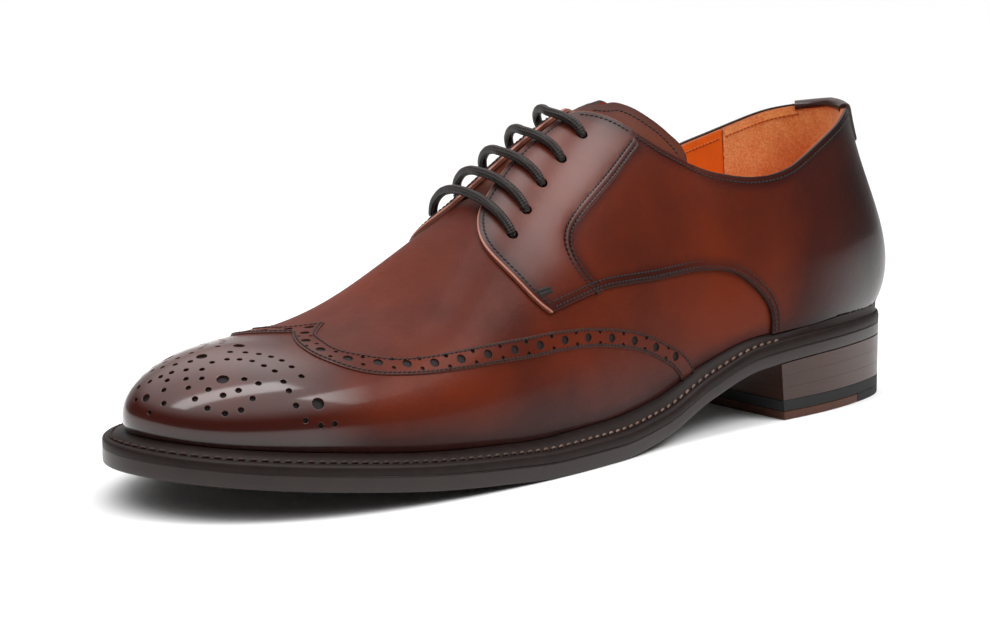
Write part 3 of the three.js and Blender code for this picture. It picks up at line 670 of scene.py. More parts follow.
def plain(name, colour, other, roughness, size=3.0, relief=0.03, **more):
    """A plain finish with two near colours in blots, and a fine relief."""
    more.setdefault("Specular_IOR_Level", 0.25)
    made = Finish(name)
    blots = made.noise(size, 3)
    return made.surface(
        Base_Color=made.blend(blots, colour, other), Roughness=roughness + (blots - 0.5) * 0.1,
        Normal=made.bump(made.noise(size / 6, 3), relief), **more)


calf_leather = calf("burnished_calf")
# Pinkish colour of the raw cut edges: partly the raw calf, partly a painted highlight along the burnished facing edges.
raw_edge_and_highlight = plain("raw_calf_edge_and_highlight", (0.22, 0.08, 0.055), (0.13, 0.042, 0.026), 0.5)
# Dark brown walls for the vamp's and the band's cuts and holes: cut-edge colour, kept dark as painted shade inside the
# punched holes.
cut_edge_and_hole_shade = plain("cut_edge_and_hole_shade", (0.06, 0.022, 0.014), (0.03, 0.011, 0.008), 0.5)
dark_edge = plain("inked_edge", (0.012, 0.006, 0.005), (0.03, 0.011, 0.008), 0.4)
lining_edge = plain("lining_edge", (0.3, 0.07, 0.015), (0.2, 0.05, 0.012), 0.6)
lining_leather = plain("orange_lining", (0.92, 0.19, 0.018), (0.8, 0.15, 0.014), 0.5, 5, 0.04)
# Near-black finish for the discs under the punched holes: painted shade inside the holes.
hole_shade_finish = plain("painted_hole_shade", (0.006, 0.004, 0.004), (0.012, 0.008, 0.007), 0.7)

VAMP_SIDE = [(50, 0), (52, 0.14), (57, 0.29), (64, 0.4), (73, 0.46), (82, 0.5), (89, 0.55), (94, 0.64), (97.5, 0.76), (98.8, 0.86), (97.6, 1)]
# Holes of one half: length, out from the middle of the toe, width
MEDALLION = [
    (263.4, 0, 3.4), (276.5, 0, 3.3), (296.1, 0, 2.6), (278.8, 14, 3.7), (258.5, 32.7, 3.7),
    (268.6, 3.2, 1.8), (265.1, 6, 1.8), (262.4, 9, 1.8), (260.4, 12.3, 1.8), (259, 15.7, 1.8), (258.5, 19.9, 1.8), (258.4, 24.6, 1.9),
    (276.5, 5.4, 1.7), (272.2, 6.8, 1.7), (269.3, 9, 1.7), (266.8, 11.8, 1.7), (265.4, 15.7, 1.8), (264.2, 19.4, 1.8),
    (264.5, 24.1, 1.9), (264.8, 27.2, 1.9), (264.9, 30.7, 1.9), (263.4, 33.2, 1.8), (259.3, 35.3, 1.8), (255, 36.0, 1.8),
    (273.8, 17.7, 1.9), (271.3, 21.2, 1.9), (283.9, 14.1, 1.9), (281.7, 18.3, 1.9), (277.4, 19.9, 1.9), (275.3, 23.9, 1.9),
    (288.1, 13.4, 1.8), (286.7, 17.6, 1.8), (283.4, 21.6, 1.8), (279.4, 23.9, 1.8),
    (280.7, 6.3, 1.7), (283, 9.5, 1.7), (283.9, 2.8, 1.7), (286.2, 6.1, 1.7), (287.6, 9.3, 1.7),
    (280.5, 0, 1.7), (287.1, 0, 1.7), (289.8, 1.7, 1.6), (292.3, 3.7, 1.6), (294.3, 6.6, 1.6), (297.2, 3.6, 1.5),
]
TOE_MIDDLE = -1.1


def vamp():
    half = drawn(VAMP_SIDE)
    sole_side = drawn([(310, 0), (180, 0), (50, 0)], 1.0)
    edge = np.vstack([half, mirrored(half)[-2::-1], sole_side[1:-1]])
    holes = []
    for sign in (1, -1):
        rows = [row for row in MEDALLION if sign > 0 or row[1] > 0]
        above = [(x, TOE_MIDDLE + sign * out) for x, out, width in rows]
        for (at, up), (x, out, width) in zip(seek(above, (0, 1), sign, 0.0, 0.36), rows):
            holes.append((at, up, width))
    return edge, holes


vamp_edge, medallion = vamp()
panel("vamp", vamp_edge, [calf_leather, lining_leather, cut_edge_and_hole_shade], [punch(*hole, 20 if hole[2] > 2.5 else 14) for hole in medallion], outer=0,
      inner=-1.4, slot="calf_leather", nodes=["upper"])


def hole_shade_discs(name, spots, depth, size):
    """Near-black discs under the punched holes: painted shade inside the holes."""
    points, faces = [], []
    for at, up, width in spots:
        loop = punch(at, up, width + size, 10)
        start = len(points)
        points += layer(*loop.T, depth).tolist()
        faces.append(tuple(range(start, start + 10)))
    assemble(name, points, faces, [hole_shade_finish], slot="calf_leather")


# Near-black discs under the medallion holes, inside the vamp: painted shade.
hole_shade_discs("medallion_hole_shade", medallion, -0.9, 0.5)

# Outer panels. The quarters carry the top line and close up the back in one seam.
# The facings lap over them and over the vamp, with raw edges and five eyelets a side.
COLLAR = [
    (0.041, 0.757, 0.752), (0.076, 0.746, 0.73), (0.099, 0.71, 0.707), (0.128, 0.668, 0.683),
    (0.158, 0.626, 0.658), (0.186, 0.591, 0.639), (0.214, 0.571, 0.622), (0.25, 0.57, 0.617),
    (0.296, 0.626, 0.667), (0.322, 0.686, 0.722), (0.375, 0.838, 0.853),
]
FACING_FRONT = [
    (79.3, 0.962), (83, 0.974), (88, 0.974), (91.98, 0.962), (96.08, 0.932), (99.03, 0.90), (100.8, 0.86),
    (102.26, 0.79), (102.55, 0.71), (101.65, 0.60), (99.67, 0.47), (97.74, 0.402),
]
QUARTER_FOOT = [
    (97.74, 0.402), (92.6, 0.396), (87.87, 0.39), (82.13, 0.364), (73.53, 0.328), (64.84, 0.278), (61.31, 0.22),
    (58.38, 0.14), (57.56, 0.05), (57.5, 0),
]
FACING_BACK = [
    (74.01, 0.71), (77.9, 0.672), (81.57, 0.64), (86.28, 0.612), (89.52, 0.588), (90.92, 0.565), (91.32, 0.53),
    (90.78, 0.47), (88.36, 0.39),
]
EYELETS = [(98.5, 0.705), (95.0, 0.74), (91.05, 0.778), (86.7, 0.804), (81.9, 0.834)]
# Soft forms in the sides: turn, height, size and depth
FACING_SWELLS = [(94.5, 0.49, 9, 0.35), (91, 0.56, 7, -0.45), (88, 0.68, 12, 0.3)]
QUARTER_SWELLS = [(80, 0.52, 16, -0.5), (66, 0.42, 20, 0.5), (70, 0.56, 12, -0.35), (48, 0.5, 16, -0.4), (30, 0.35, 18, 0.4)]
TOP_BACK_HEIGHT = feather(2.0) + 0.76 * INSTEP_HEIGHT


def tidy(*lines):
    """Lines joined end to end, with no place twice."""
    line = np.vstack(lines)
    here = skin(*line.T)
    far = np.linalg.norm(here - np.roll(here, 1, 0), axis=1) > 0.25
    return line[far]


def part_of(line, start, end):
    """The stretch of a line between two turns."""
    low, high = sorted((start, end))
    cut = line[(line[:, 0] > low + 0.3) & (line[:, 0] < high - 0.3)]
    ends = [[at, np.interp(at, *(v[np.argsort(line[:, 0])] for v in line.T))] for at in (start, end)]
    cut = cut if (line[0, 0] < line[-1, 0]) == (start < end) else cut[::-1]
    return even(np.vstack([ends[:1], cut, ends[1:]]), 0.9)


def top_line(sign):
    rows = [(along(row[0]), feather(along(row[0])) + INSTEP_HEIGHT * row[1 if sign > 0 else 2]) for row in COLLAR]
    ups = np.linspace(0.5, 1, 201)
    back = np.interp(TOP_BACK_HEIGHT, layer(0.0, ups, 1.5)[:, 2], ups)
    line = seek(rows, (0, 2), sign)
    turn = line[:, 0] if sign > 0 else 360 - line[:, 0]
    return drawn(np.vstack([[(0, back)], np.stack([turn, line[:, 1]], 1), [(79.3, 0.962)]]), soften=50)


def sided(line, sign):
    return line if sign > 0 else mirrored(line)


quarter_leather = calf("quarter_calf", edge=(0.01, 0.005, 0.004), deep=0.16)
# The facing's pinkish edge tint is raw-edge colour and partly a painted highlight on the burnished edge bevel.
facing_leather = calf("facing_calf", edge=(0.42, 0.17, 0.12), sheen=0.5, deep=0.1)
facing_front, facing_back = drawn(FACING_FRONT, soften=8), drawn(FACING_BACK, soften=20)
foot_line = drawn(QUARTER_FOOT, soften=20)
tops = {1: top_line(1), -1: top_line(-1)}
for sign, word in ((1, "outer"), (-1, "inner")):
    top = tops[sign]
    start = np.argmin(np.abs(top[:, 0] - 74.01) + (top[:, 0] > 79) * 9)
    seam = np.vstack([top[start:start + 1], facing_back[1:]])
    foot_end = np.argmin(np.abs(foot_line[:, 0] - 88.36))
    face_edge = tidy(top[start:], facing_front, foot_line[:foot_end], seam[::-1])
    holes = [sided(punch(at, up, 3.5, 16), sign) for at, up in EYELETS]
    grooves = [(sided(beside(facing_back, step), sign), 0.15, 0.4) for step in (-1.2, -3.0)]
    panel("facing_" + word, sided(face_edge, sign), [facing_leather, lining_leather, raw_edge_and_highlight, dark_edge],
          holes, grooves, outer=1.6, inner=0.05, raw=sided(np.vstack([facing_front, top[start + 4:]]), sign),
          swells=[(at if sign > 0 else 360 - at, up, size, height) for at, up, size, height in FACING_SWELLS], slot="calf_leather", nodes=["upper"])
    hidden = beside(seam, -2.5)
    back = np.array([(0, up) for up in np.arange(0.0, top[0, 1], 0.012)])
    sole_side = drawn([(57.5, 0), (0, 0)])
    quarter_edge = tidy(top[:start], hidden[1:-1], foot_line[foot_end:], sole_side, back)
    panel("quarter_" + word, sided(quarter_edge, sign), [quarter_leather, dark_edge, dark_edge], (), (), outer=1.2,
          inner=0.05, bevel=0.35, raw=sided(np.vstack([foot_line[foot_end:], top[:start]]), sign),
          swells=[(at if sign > 0 else 360 - at, up, size, height) for at, up, size, height in QUARTER_SWELLS], slot="calf_leather", nodes=["upper"])

# Wing band: a strip of the same calf stitched over the vamp, 8 mm wide and pinked with holes.
# One big hole stands between each two pairs of small ones.
BAND_HIGH = [
    (127.5, 1), (129.4, 0.96), (131.84, 0.88), (131.89, 0.80), (130.78, 0.67), (127.11, 0.58), (123.06, 0.51),
    (119, 0.47), (113.03, 0.43), (108.21, 0.4), (103.36, 0.375), (99.34, 0.355), (95.33, 0.33), (90.04, 0.297),
    (84.99, 0.26), (80.8, 0.215), (77.62, 0.165), (75.03, 0.11), (73.22, 0.045), (72.6, 0),
]
BAND_LOW = [
    (136.2, 1), (137.29, 0.91), (137.56, 0.80), (135.93, 0.66), (133.46, 0.57), (130.71, 0.49), (127.11, 0.43),
    (122.91, 0.395), (118.56, 0.366), (113.9, 0.342), (109.07, 0.32), (104.12, 0.302), (99.08, 0.284),
    (94.93, 0.267), (90.54, 0.245), (86.4, 0.217), (83.28, 0.188), (79.99, 0.145), (77.31, 0.095), (75.63, 0.04), (74.9, 0),
]
BAND_HOLES = [
    (133.75, 0.93), (135.26, 0.82), (133.77, 0.69), (130.03, 0.57), (125.59, 0.50), (121.37, 0.45), (117.31, 0.412),
    (113.26, 0.386), (109.09, 0.363), (104.85, 0.343), (100.63, 0.325), (96.43, 0.306), (92.42, 0.284), (88.24, 0.257),
    (84.15, 0.223), (80.21, 0.178), (76.51, 0.115),
]
band_high, band_low = drawn(BAND_HIGH, soften=3), drawn(BAND_LOW, soften=8)
band_edge = tidy(band_high, band_low[::-1], mirrored(band_low)[1:], mirrored(band_high)[::-1])
band_holes = [(131.3, 0.999, 2.9)]
middle = bend(BAND_HOLES, 8)
for k, (at, up) in enumerate(BAND_HOLES):
    band_holes.append((at, up, 2.9))
    if k < len(BAND_HOLES) - 1:
        pair = middle[k * 8 + 3:k * 8 + 6]
        for step in (-1.8, 1.8):
            spot = beside(pair, step)[1]
            band_holes.append((*spot, 1.3))
mirror_holes = [(360 - at, up, width) for at, up, width in band_holes[1:]]
band_leather = calf("band_calf", seam=0.0, edge=(0.05, 0.016, 0.011))
panel("wing_band", band_edge, [band_leather, raw_edge_and_highlight, cut_edge_and_hole_shade],
      [punch(at, up, width, 18 if width > 2 else 10) for at, up, width in band_holes + mirror_holes],
      outer=0.6, inner=0.02, bevel=0.32, pitch=1.3, slot="calf_leather")
# Near-black discs under the band's holes, laid over the vamp: painted shade inside the holes.
hole_shade_discs("band_hole_shade", band_holes + mirror_holes, 0.05, 0.4)

# Heel tab: a strip of dark leather folded over the top line at the back, 26 mm wide.
# It hides the end of the back seam and shows on the suede inside.
HEEL_TAB_HALF = 13.0
TAB_SHAPE = [
    (11, 1.0), (10.9, 1.7), (10.2, 2.0), (5, 2.05), (0.6, 2.05), (-0.3, 1.8), (-0.85, 1.1), (-1.05, 0.1), (-0.95, -0.9),
    (-0.5, -1.8), (0.2, -2.2), (0.9, -2.2), (1.3, -1.9), (1.4, -1.4), (1, -0.4),
]


def heel_tab():
    turns = np.linspace(-13.5, 13.5, 49)
    rim = np.where(turns >= 0, np.interp(turns, *tops[1].T), np.interp(-turns, *tops[-1].T))
    length = np.interp(np.mod(turns, 360), TURNS, RIB_LENGTHS)
    points = [layer(turns, rim - height / length, depth) for height, depth in TAB_SHAPE]
    points = np.stack(points, 1)
    size = len(TAB_SHAPE)
    faces = [(i * size + k, i * size + (k + 1) % size, (i + 1) * size + (k + 1) % size, (i + 1) * size + k)
             for i in range(len(turns) - 1) for k in range(size)]
    faces += [tuple(range(size - 1, -1, -1)), tuple((len(turns) - 1) * size + k for k in range(size))]
    return points.reshape(-1, 3), faces


tab_leather = plain("heel_tab_calf", (0.02, 0.009, 0.008), (0.04, 0.014, 0.01), 0.35, 4, 0.03, Coat_Weight=0.3, Coat_Roughness=0.15)
assemble("heel_tab", *heel_tab(), [tab_leather], slot="calf_leather", nodes=["upper"])

# Lining: smooth orange leather in front and orange suede round the heel, 1.5 mm thick.
# They meet in a stitched seam on each side, 40 mm from the back.
THROAT = [(0.574, 0.128), (0.561, 0.174), (0.318, 0.198)]
SUEDE_FRONT = 37.3


def throat_line(share, depth):
    """The side of the throat, from its front corner to the top line."""
    (front, a), (corner, b), (rear, c) = THROAT
    shares = np.linspace(rear, corner, 14)
    outs = np.interp(shares, [rear, corner], [c, b])
    x = along(shares)
    plan = np.stack([x, crest_side(x) + outs * LAST_WIDTH - share], 1)
    return even(seek(plan, (0, 1), 1, depth), 0.9)


suede = Finish("orange_suede")
nap, fuzz = suede.noise(7, 4, 0.6), suede.noise(0.8, 4, 0.75)
suede = suede.surface(
    Base_Color=suede.blend(nap + (fuzz - 0.5) * 2.2, (0.74, 0.19, 0.036), (1.0, 0.5, 0.18)), Roughness=0.95,
    Normal=suede.bump(fuzz, 0.3, suede.bump(nap, 0.25)), Sheen_Weight=0.3, Specular_IOR_Level=0.15)
throat_side = throat_line(0.0, -0.8)
vamp_back = drawn(VAMP_SIDE[:9])
for sign, word in ((1, "outer"), (-1, "inner")):
    top = tops[sign]
    rim = part_of(beside(top, 0.4), SUEDE_FRONT, throat_side[0, 0])
    seam = even(np.array([(SUEDE_FRONT, 0), (SUEDE_FRONT, rim[0, 1])]), 0.9)
    hem = drawn([(50, 0), (SUEDE_FRONT, 0)])
    loop = tidy(seam, rim, throat_side[1:], vamp_back[::-1], hem)
    panel("lining_front_" + word, sided(loop, sign), [lining_leather, lining_leather, lining_edge], outer=-0.02, inner=-1.3,
          bevel=0.2, slot="calf_leather", nodes=["upper"])
low_rims = [np.vstack([[(0, tops[sign][0, 1] - 0.005)], beside(tops[sign], 0.4)[4:]]) for sign in (1, -1)]
rims = part_of(low_rims[0], SUEDE_FRONT, 0), part_of(low_rims[1], 0, SUEDE_FRONT)
rims = rims[0], np.stack([-rims[1][:, 0], rims[1][:, 1]], 1)
seams = [even(np.array([(s * SUEDE_FRONT, up), (s * SUEDE_FRONT, down)]), 0.9)
         for s, up, down in ((1, 0, rims[0][0, 1]), (-1, rims[1][-1, 1], 0))]
hem = drawn([(-SUEDE_FRONT, 0), (0, 0), (SUEDE_FRONT, 0)])
panel("lining_heel", tidy(seams[0], *rims, seams[1], hem), [suede, suede, lining_edge], outer=-0.02, inner=-1.5, bevel=0.2,
      slot="calf_leather", nodes=["upper"])

# Tongue: one layer of calf under the facings, cut round at the top and stitched 4 mm inside its edge.
TONGUE_TOP = [(75.1, 1), (74.14, 0.952), (72.27, 0.93), (70.95, 0.88), (69, 0.80), (66.9, 0.73), (65.56, 0.68), (65.3, 0.64)]
tongue_leather = calf("tongue_calf", (0.01, 0.004, 0.0035), (0.05, 0.012, 0.007), (0.11, 0.026, 0.012))
tongue_top = drawn(TONGUE_TOP)
tongue_side = throat_line(0.4, -0.8)
front_x = along(THROAT[0][0]) - 0.4
tongue_front = even(seek([(front_x, crest_side(front_x) + out) for out in (11, 8, 5, 2.5, 0.8, 0.1)], (0, 1), 1, -0.8), 0.9)
tongue_half = tidy(tongue_top, tongue_side[1:], tongue_front)
tongue_edge = tidy(tongue_half, mirrored(tongue_half)[::-1][1:-1])
panel("tongue", tongue_edge, [tongue_leather, lining_leather, dark_edge], outer=-0.3, inner=-1.6, bevel=0.5,
      slot="tongue_leather", nodes=["tongue"])

# Stitching: waxed black thread on the calf and orange thread on the lining, laid in short slanted stitches.
def stitch_mesh(name, lines, finish, pitch=1.55, length=1.3, width=0.29, slant=0.14, inside=False, **about):
    clouds, faces, start = [], [], 0
    for line, depth in lines:
        line = even(line, pitch) if len(line) > 2 else line
        centre = (line[1:] + line[:-1]) / 2
        here, ahead = layer(*line[:-1].T, depth), layer(*line[1:].T, depth)
        run = unit(ahead - here)
        out = leans(*centre.T)[2] * (-1 if inside else 1)
        across = unit(np.cross(out, run))
        run = unit(run + across * slant)
        rings = []
        for s, high, size in ((-0.5, -0.25, 0.6), (-0.34, 0.05, 0.95), (0, 0.2, 1), (0.34, 0.05, 0.95), (0.5, -0.25, 0.6)):
            for turn in np.arange(6) * math.pi / 3:
                rings.append((here + ahead) / 2 + run * s * length + across * math.cos(turn) * width * size
                             + out * (math.sin(turn) * size + high) * width)
        cloud = np.stack(rings, 1)
        for i in range(len(cloud)):
            first = start + i * 30
            for r in range(4):
                for k in range(6):
                    a, b = first + r * 6 + k, first + r * 6 + (k + 1) % 6
                    faces.append((a, b, b + 6, a + 6))
            faces += [tuple(first + 5 - k for k in range(6)), tuple(first + 24 + k for k in range(6))]
        start += cloud.size // 3
        clouds.append(cloud.reshape(-1, 3))
    return assemble(name, np.vstack(clouds), faces, [finish], sharp=80, **about)


black_thread = plain("black_thread", (0.006, 0.005, 0.005), (0.016, 0.012, 0.011), 0.45, 0.6, 0.05)
orange_thread = plain("orange_thread", (0.5, 0.14, 0.03), (0.38, 0.09, 0.02), 0.6, 0.6, 0.05)
calf_runs, lining_runs = [], []
for sign in (1, -1):
    top = tops[sign]
    start = np.argmin(np.abs(top[:, 0] - 74.01) + (top[:, 0] > 79) * 9)
    whole = beside(top, 1.9)
    calf_runs.append((sided(whole[14:start - 1], sign), 1.22))
    calf_runs.append((sided(whole[start + 1:-2], sign), 1.62))
    calf_runs.append((sided(beside(facing_front, 1.9)[2:-2], sign), 1.62))
    for step in (-1.2, -3.0):
        calf_runs.append((sided(beside(facing_back, step)[2:-1], sign), 1.62))
    for step in (1.2, 3.0):
        rows = beside(foot_line, step)
        calf_runs.append((sided(rows[2:foot_end], sign), 1.62))
        calf_runs.append((sided(rows[foot_end:-1], sign), 1.22))
    calf_runs.append((sided(beside(band_high, -0.75), sign), 0.6))
    calf_runs.append((sided(beside(band_low, 0.75), sign), 0.6))
    calf_runs.append((sided(beside(tongue_top, -3.6)[2:-2], sign), -0.3))
    rows = beside(top, 3.2)
    lining_runs.append((sided(part_of(rows, 12, 36.5), sign), -1.55))
    lining_runs.append((sided(part_of(rows, 38, 62), sign), -1.35))
    lining_runs += [(sided(np.array([(SUEDE_FRONT + step, 0.12), (SUEDE_FRONT + step, np.interp(SUEDE_FRONT, top[:, 0], top[:, 1]) - 0.03)]), sign), -1.5 if step < 0 else -1.35) for step in (-0.8, 1.1)]
tack = np.linspace((98.9, 0.479), (97.0, 0.469), 15)
for step in (-0.55, 0.55):
    for ends in zip(beside(tack, step + 0.55), beside(tack, step - 0.55)):
        calf_runs.append((np.array(ends), 1.66))
stitch_mesh("calf_stitching", calf_runs, black_thread, slot="calf_leather")
stitch_mesh("lining_stitching", lining_runs, orange_thread, inside=True, slot="calf_leather")

# Bottom: the welt runs from breast to breast, beaten down to the outer edge and stitched through.
# The rand closes it round the heel, over a leather sole with inked edges.
def ring_of(name, profile, finishes, turns, closed, looks=None, **about):
    """A strip round the shoe whose section is given as (out, height) for each turn."""
    turn = np.asarray(turns, float)
    out = outward(np.mod(turn, 360))
    foot = np.stack([feather_x(np.mod(turn, 360)), side(np.mod(turn, 360))], -1)
    rows = profile(np.mod(turn, 360), foot[:, 0])
    points = np.stack([np.column_stack([foot + out * o[:, None], z]) for o, z in rows], 1)
    size, count = len(rows), len(turn)
    faces = []
    for i in range(count if closed else count - 1):
        j = (i + 1) % count
        faces += [(i * size + k, i * size + (k + 1) % size, j * size + (k + 1) % size, j * size + k) for k in range(size)]
    if not closed:
        faces += [tuple(range(size - 1, -1, -1)), tuple((count - 1) * size + k for k in range(size))]
    return assemble(name, points.reshape(-1, 3), faces, finishes, sharp=60, **about)


def welt_profile(turn, x):
    wide, high, edge, low = welt_out(turn), feather(x), welt_edge(x), sole_high(x) + 0.1
    slope = (edge - high) / (wide - 0.5)

    def on_top(share):
        place_ = 0.5 + (wide - 0.5) * share
        return place_, high + (place_ - 0.5) * slope
    groove_a, groove_b, groove_c = on_top(0.5), on_top(0.62), on_top(0.74)
    # Round the heel the strip is pressed up against the upper
    pressed = np.clip((54 - np.minimum(turn, 360 - turn)) / 14, 0, 1)
    lip = [flat + (close - flat) * pressed for flat, close in zip(on_top(0.25), (1.85, high + 0.75))]
    return [
        (-3.2 + 0 * x, low), (-3.2 + 0 * x, high), (0.4 + 0 * x, high),
        lip, groove_a, (groove_b[0], groove_b[1] - 0.6), groove_c, (on_top(0.9)[0], on_top(0.9)[1] + 0.1),
        (wide - 0.15, edge - 0.12), (wide, edge - 0.5), (wide + 0.02, (edge + low) / 2), (wide, low + 0.15), (wide - 0.12, low),
    ]


BREAST = 56.4
welt_turns = np.linspace(BREAST, 360 - BREAST, 421)
heel_turns = np.linspace(-BREAST, BREAST, 161)
sole_ink = plain("inked_sole_edge", (0.0095, 0.0052, 0.0048), (0.022, 0.011, 0.009), 0.4, 8, 0.06, Coat_Weight=0.2, Coat_Roughness=0.3)
welt_ink = plain("inked_welt", (0.006, 0.0035, 0.0032), (0.018, 0.009, 0.0075), 0.5, 4, 0.1, Specular_IOR_Level=0.14)
ring_of("welt", welt_profile, [welt_ink], welt_turns, False, slot="welt_leather", nodes=["welt"])
ring_of("heel_rand", welt_profile, [welt_ink], heel_turns, False, slot="welt_leather", nodes=["heel_rand"])


def plate(name, turns, shape, finishes, **about):
    """A plate whose edge follows the shoe: shape gives (width, height) rings from the bottom up."""
    turn = np.mod(np.asarray(turns, float), 360)
    out, x = outward(turn), feather_x(turn)
    foot = np.stack([x, side(turn)], -1)
    rings = []
    for width, height in shape:
        flat = foot + out * np.broadcast_to(width(turn), turn.shape)[:, None]
        rings.append(np.column_stack([flat, height(flat[:, 0])]))
    count = len(turn)
    faces = []
    for r in range(len(rings) - 1):
        for i in range(count):
            j = (i + 1) % count
            faces.append((r * count + i, r * count + j, (r + 1) * count + j, (r + 1) * count + i))
    last = (len(rings) - 1) * count
    for i in range(count // 2):
        a, b, c, d = i, i + 1, (count - i - 1) % count, (count - i) % count
        faces.append(tuple(dict.fromkeys((d, c, b, a))))
        faces.append(tuple(dict.fromkeys((last + a, last + b, last + c, last + d))))
    return assemble(name, np.vstack(rings), faces, finishes, sharp=60, **about)


full_turns = np.arange(0, 360, 1.0)


def wide_by(step):
    return lambda turn: welt_out(turn) + step


def high_by(line, step):
    return lambda x: line(x) + step


plate("outsole", full_turns, [
    (wide_by(-1.2), high_by(sole_low, 0)), (wide_by(-0.5), high_by(sole_low, 0.05)), (wide_by(-0.12), high_by(sole_low, 0.3)),
    (wide_by(0), high_by(sole_low, 0.8)), (wide_by(0.05), high_by(sole_low, 2.2)), (wide_by(0), high_by(sole_high, -0.6)),
    (wide_by(-0.02), high_by(sole_high, -0.15)), (wide_by(-0.15), high_by(sole_high, 0))], [sole_ink],
    slot="sole_leather", nodes=["outsole"])

insole_leather = plain("insole_leather", (0.62, 0.16, 0.03), (0.5, 0.12, 0.02), 0.55, 6, 0.05)
plate("insole", full_turns, [
    (lambda turn: -3.6, high_by(sole_high, 0.2)), (lambda turn: -3.6, high_by(feather, 0.1)), (lambda turn: -1.95, high_by(feather, 0.1)),
    (lambda turn: -1.95, high_by(feather, 2.1)), (lambda turn: -2.3, high_by(feather, 2.5))], [insole_leather],
    slot="insole_leather", nodes=["insole"])

# Heel: three leather lifts over a rubber top piece with a leather inlay at the breast.
BREAST_FOOT, BREAST_HEAD, TOP_PIECE, INLAY_BACK = 66.0, 68.0, 6.8, 25.0


def slab(name, low, high, finishes, behind=None, ahead=None, soften=0.3, **about):
    """A layer of the heel between two heights, cut at the breast or at a line across the shoe."""
    turn = np.linspace(-75, 75, 1501)
    flat = np.stack([feather_x(np.mod(turn, 360)), side(np.mod(turn, 360))], -1)
    out = outward(np.mod(turn, 360))
    rings = []
    for inset, height in ((soften, low), (soften * 0.3, lambda x: low(x) + soften * 0.3), (0, lambda x: low(x) + soften),
                          (0, lambda x: high(x) - soften), (soften * 0.3, lambda x: high(x) - soften * 0.3), (soften, high)):
        edge = flat + out * (welt_out(np.mod(turn, 360)) - inset)[:, None]
        level = float(np.mean(height(np.array([40.0]))))
        front = (ahead if ahead is not None else BREAST_FOOT + (BREAST_HEAD - BREAST_FOOT) * level / HEEL_RISE) - inset
        keep = edge[:, 0] < front
        if behind is not None:
            keep &= edge[:, 0] > behind + inset
        arcs = []
        for part_ in ((edge[keep & (turn < 0)], edge[keep & (turn >= 0)]) if behind is not None else (edge[keep],)):
            run = np.r_[0, np.cumsum(np.linalg.norm(np.diff(part_, axis=0), axis=1))]
            count = 60 if behind is not None else 160
            marks = np.linspace(0, run[-1], count)
            arc = np.stack([np.interp(marks, run, part_[:, 0]), np.interp(marks, run, part_[:, 1])], 1)
            arcs.append(arc)
        if behind is not None:
            ring = np.vstack([arcs[0][::1], *(np.linspace(arcs[0][-1], arcs[1][0], 22)[1:-1],), arcs[1]])
        else:
            ring = arcs[0]
        ring = np.vstack([ring, np.linspace(ring[-1], ring[0], 32)[1:-1]])
        rings.append(np.column_stack([ring, height(ring[:, 0])]))
    count = len(rings[0])
    faces = []
    for r in range(len(rings) - 1):
        for i in range(count):
            j = (i + 1) % count
            faces.append((r * count + i, r * count + j, (r + 1) * count + j, (r + 1) * count + i))
    faces += [tuple(range(count - 1, -1, -1)), tuple((len(rings) - 1) * count + k for k in range(count))]
    return assemble(name, np.vstack(rings), faces, finishes, sharp=20, **about)


stack_ink = Finish("inked_stack")
streak = stack_ink.noise(14, 4, 0.6, (1.0, 1.0, 14.0)) * 0.6 + stack_ink.noise(20, 2, 0.5) * 0.4
stack_leather = stack_ink.surface(
    Base_Color=stack_ink.blend(streak, (0.009, 0.0035, 0.0025), (0.062, 0.021, 0.012)), Roughness=0.38 + (streak - 0.5) * 0.2,
    Normal=stack_ink.bump(streak, 0.08), Coat_Weight=0.25, Coat_Roughness=0.25, Specular_IOR_Level=0.25)
rubber = plain("heel_rubber", (0.012, 0.012, 0.013), (0.022, 0.021, 0.022), 0.7, 1.5, 0.05)
inlay_leather = plain("inlay_leather", (0.045, 0.015, 0.009), (0.1, 0.034, 0.017), 0.5, 5, 0.05)


def level(height):
    return lambda x: height + 0 * np.asarray(x, float)


slab("heel_top_rubber", level(2.95), level(TOP_PIECE - 0.05), [rubber], slot="heel_rubber", nodes=["heel_top_rubber"])
slab("heel_top_rubber_back", level(0), level(2.95), [rubber], ahead=INLAY_BACK, soften=0.2, slot="heel_rubber")
slab("heel_top_inlay", level(0), level(2.9), [inlay_leather], behind=INLAY_BACK + 0.3, slot="inlay_leather", nodes=["heel_top_inlay"])
for k in range(3):
    part_low, part_high = k / 3, (k + 1) / 3
    slab(f"heel_lift_{k + 1}", lambda x, p=part_low: TOP_PIECE + (sole_low(x) - TOP_PIECE) * p + 0.01,
         lambda x, p=part_high: TOP_PIECE + (sole_low(x) - TOP_PIECE) * p - 0.01, [stack_leather], soften=0.03,
         slot="stack_leather", nodes=[f"heel_lift_{k + 1}"])

# Lace: waxed dark cord 3 mm thick, laid straight across in five bars.
# Each bar comes up through the near eyelet and goes down through the far one.
cord = Finish("waxed_cord")
weave = cord.node("SeparateXYZ", None, {0: cord.node("Attribute", {"attribute_name": "weave"}, out=1)})
round_ = cord.node("SeparateXYZ", None, {0: cord.node("Attribute", {"attribute_name": "weave"}, out=1)}, out=1)
plait = (weave * 4.2 + round_ * 4.0).sum_with("SINE", weave * 4.2 + round_ * 4.0) * (weave * 4.2 - round_ * 4.0).sum_with("SINE", weave * 4.2 - round_ * 4.0)
plait = plait * 0.5 + 0.5
wax = cord.noise(1.2, 3)
lace_cord = cord.surface(
    Base_Color=cord.blend(plait * 0.9 + (wax - 0.5) * 0.3, (0.003, 0.002, 0.0018), (0.035, 0.024, 0.02)),
    Roughness=0.42 + (wax - 0.5) * 0.3, Normal=cord.bump(plait, 0.5), Coat_Weight=0.12, Coat_Roughness=0.25, Specular_IOR_Level=0.25)


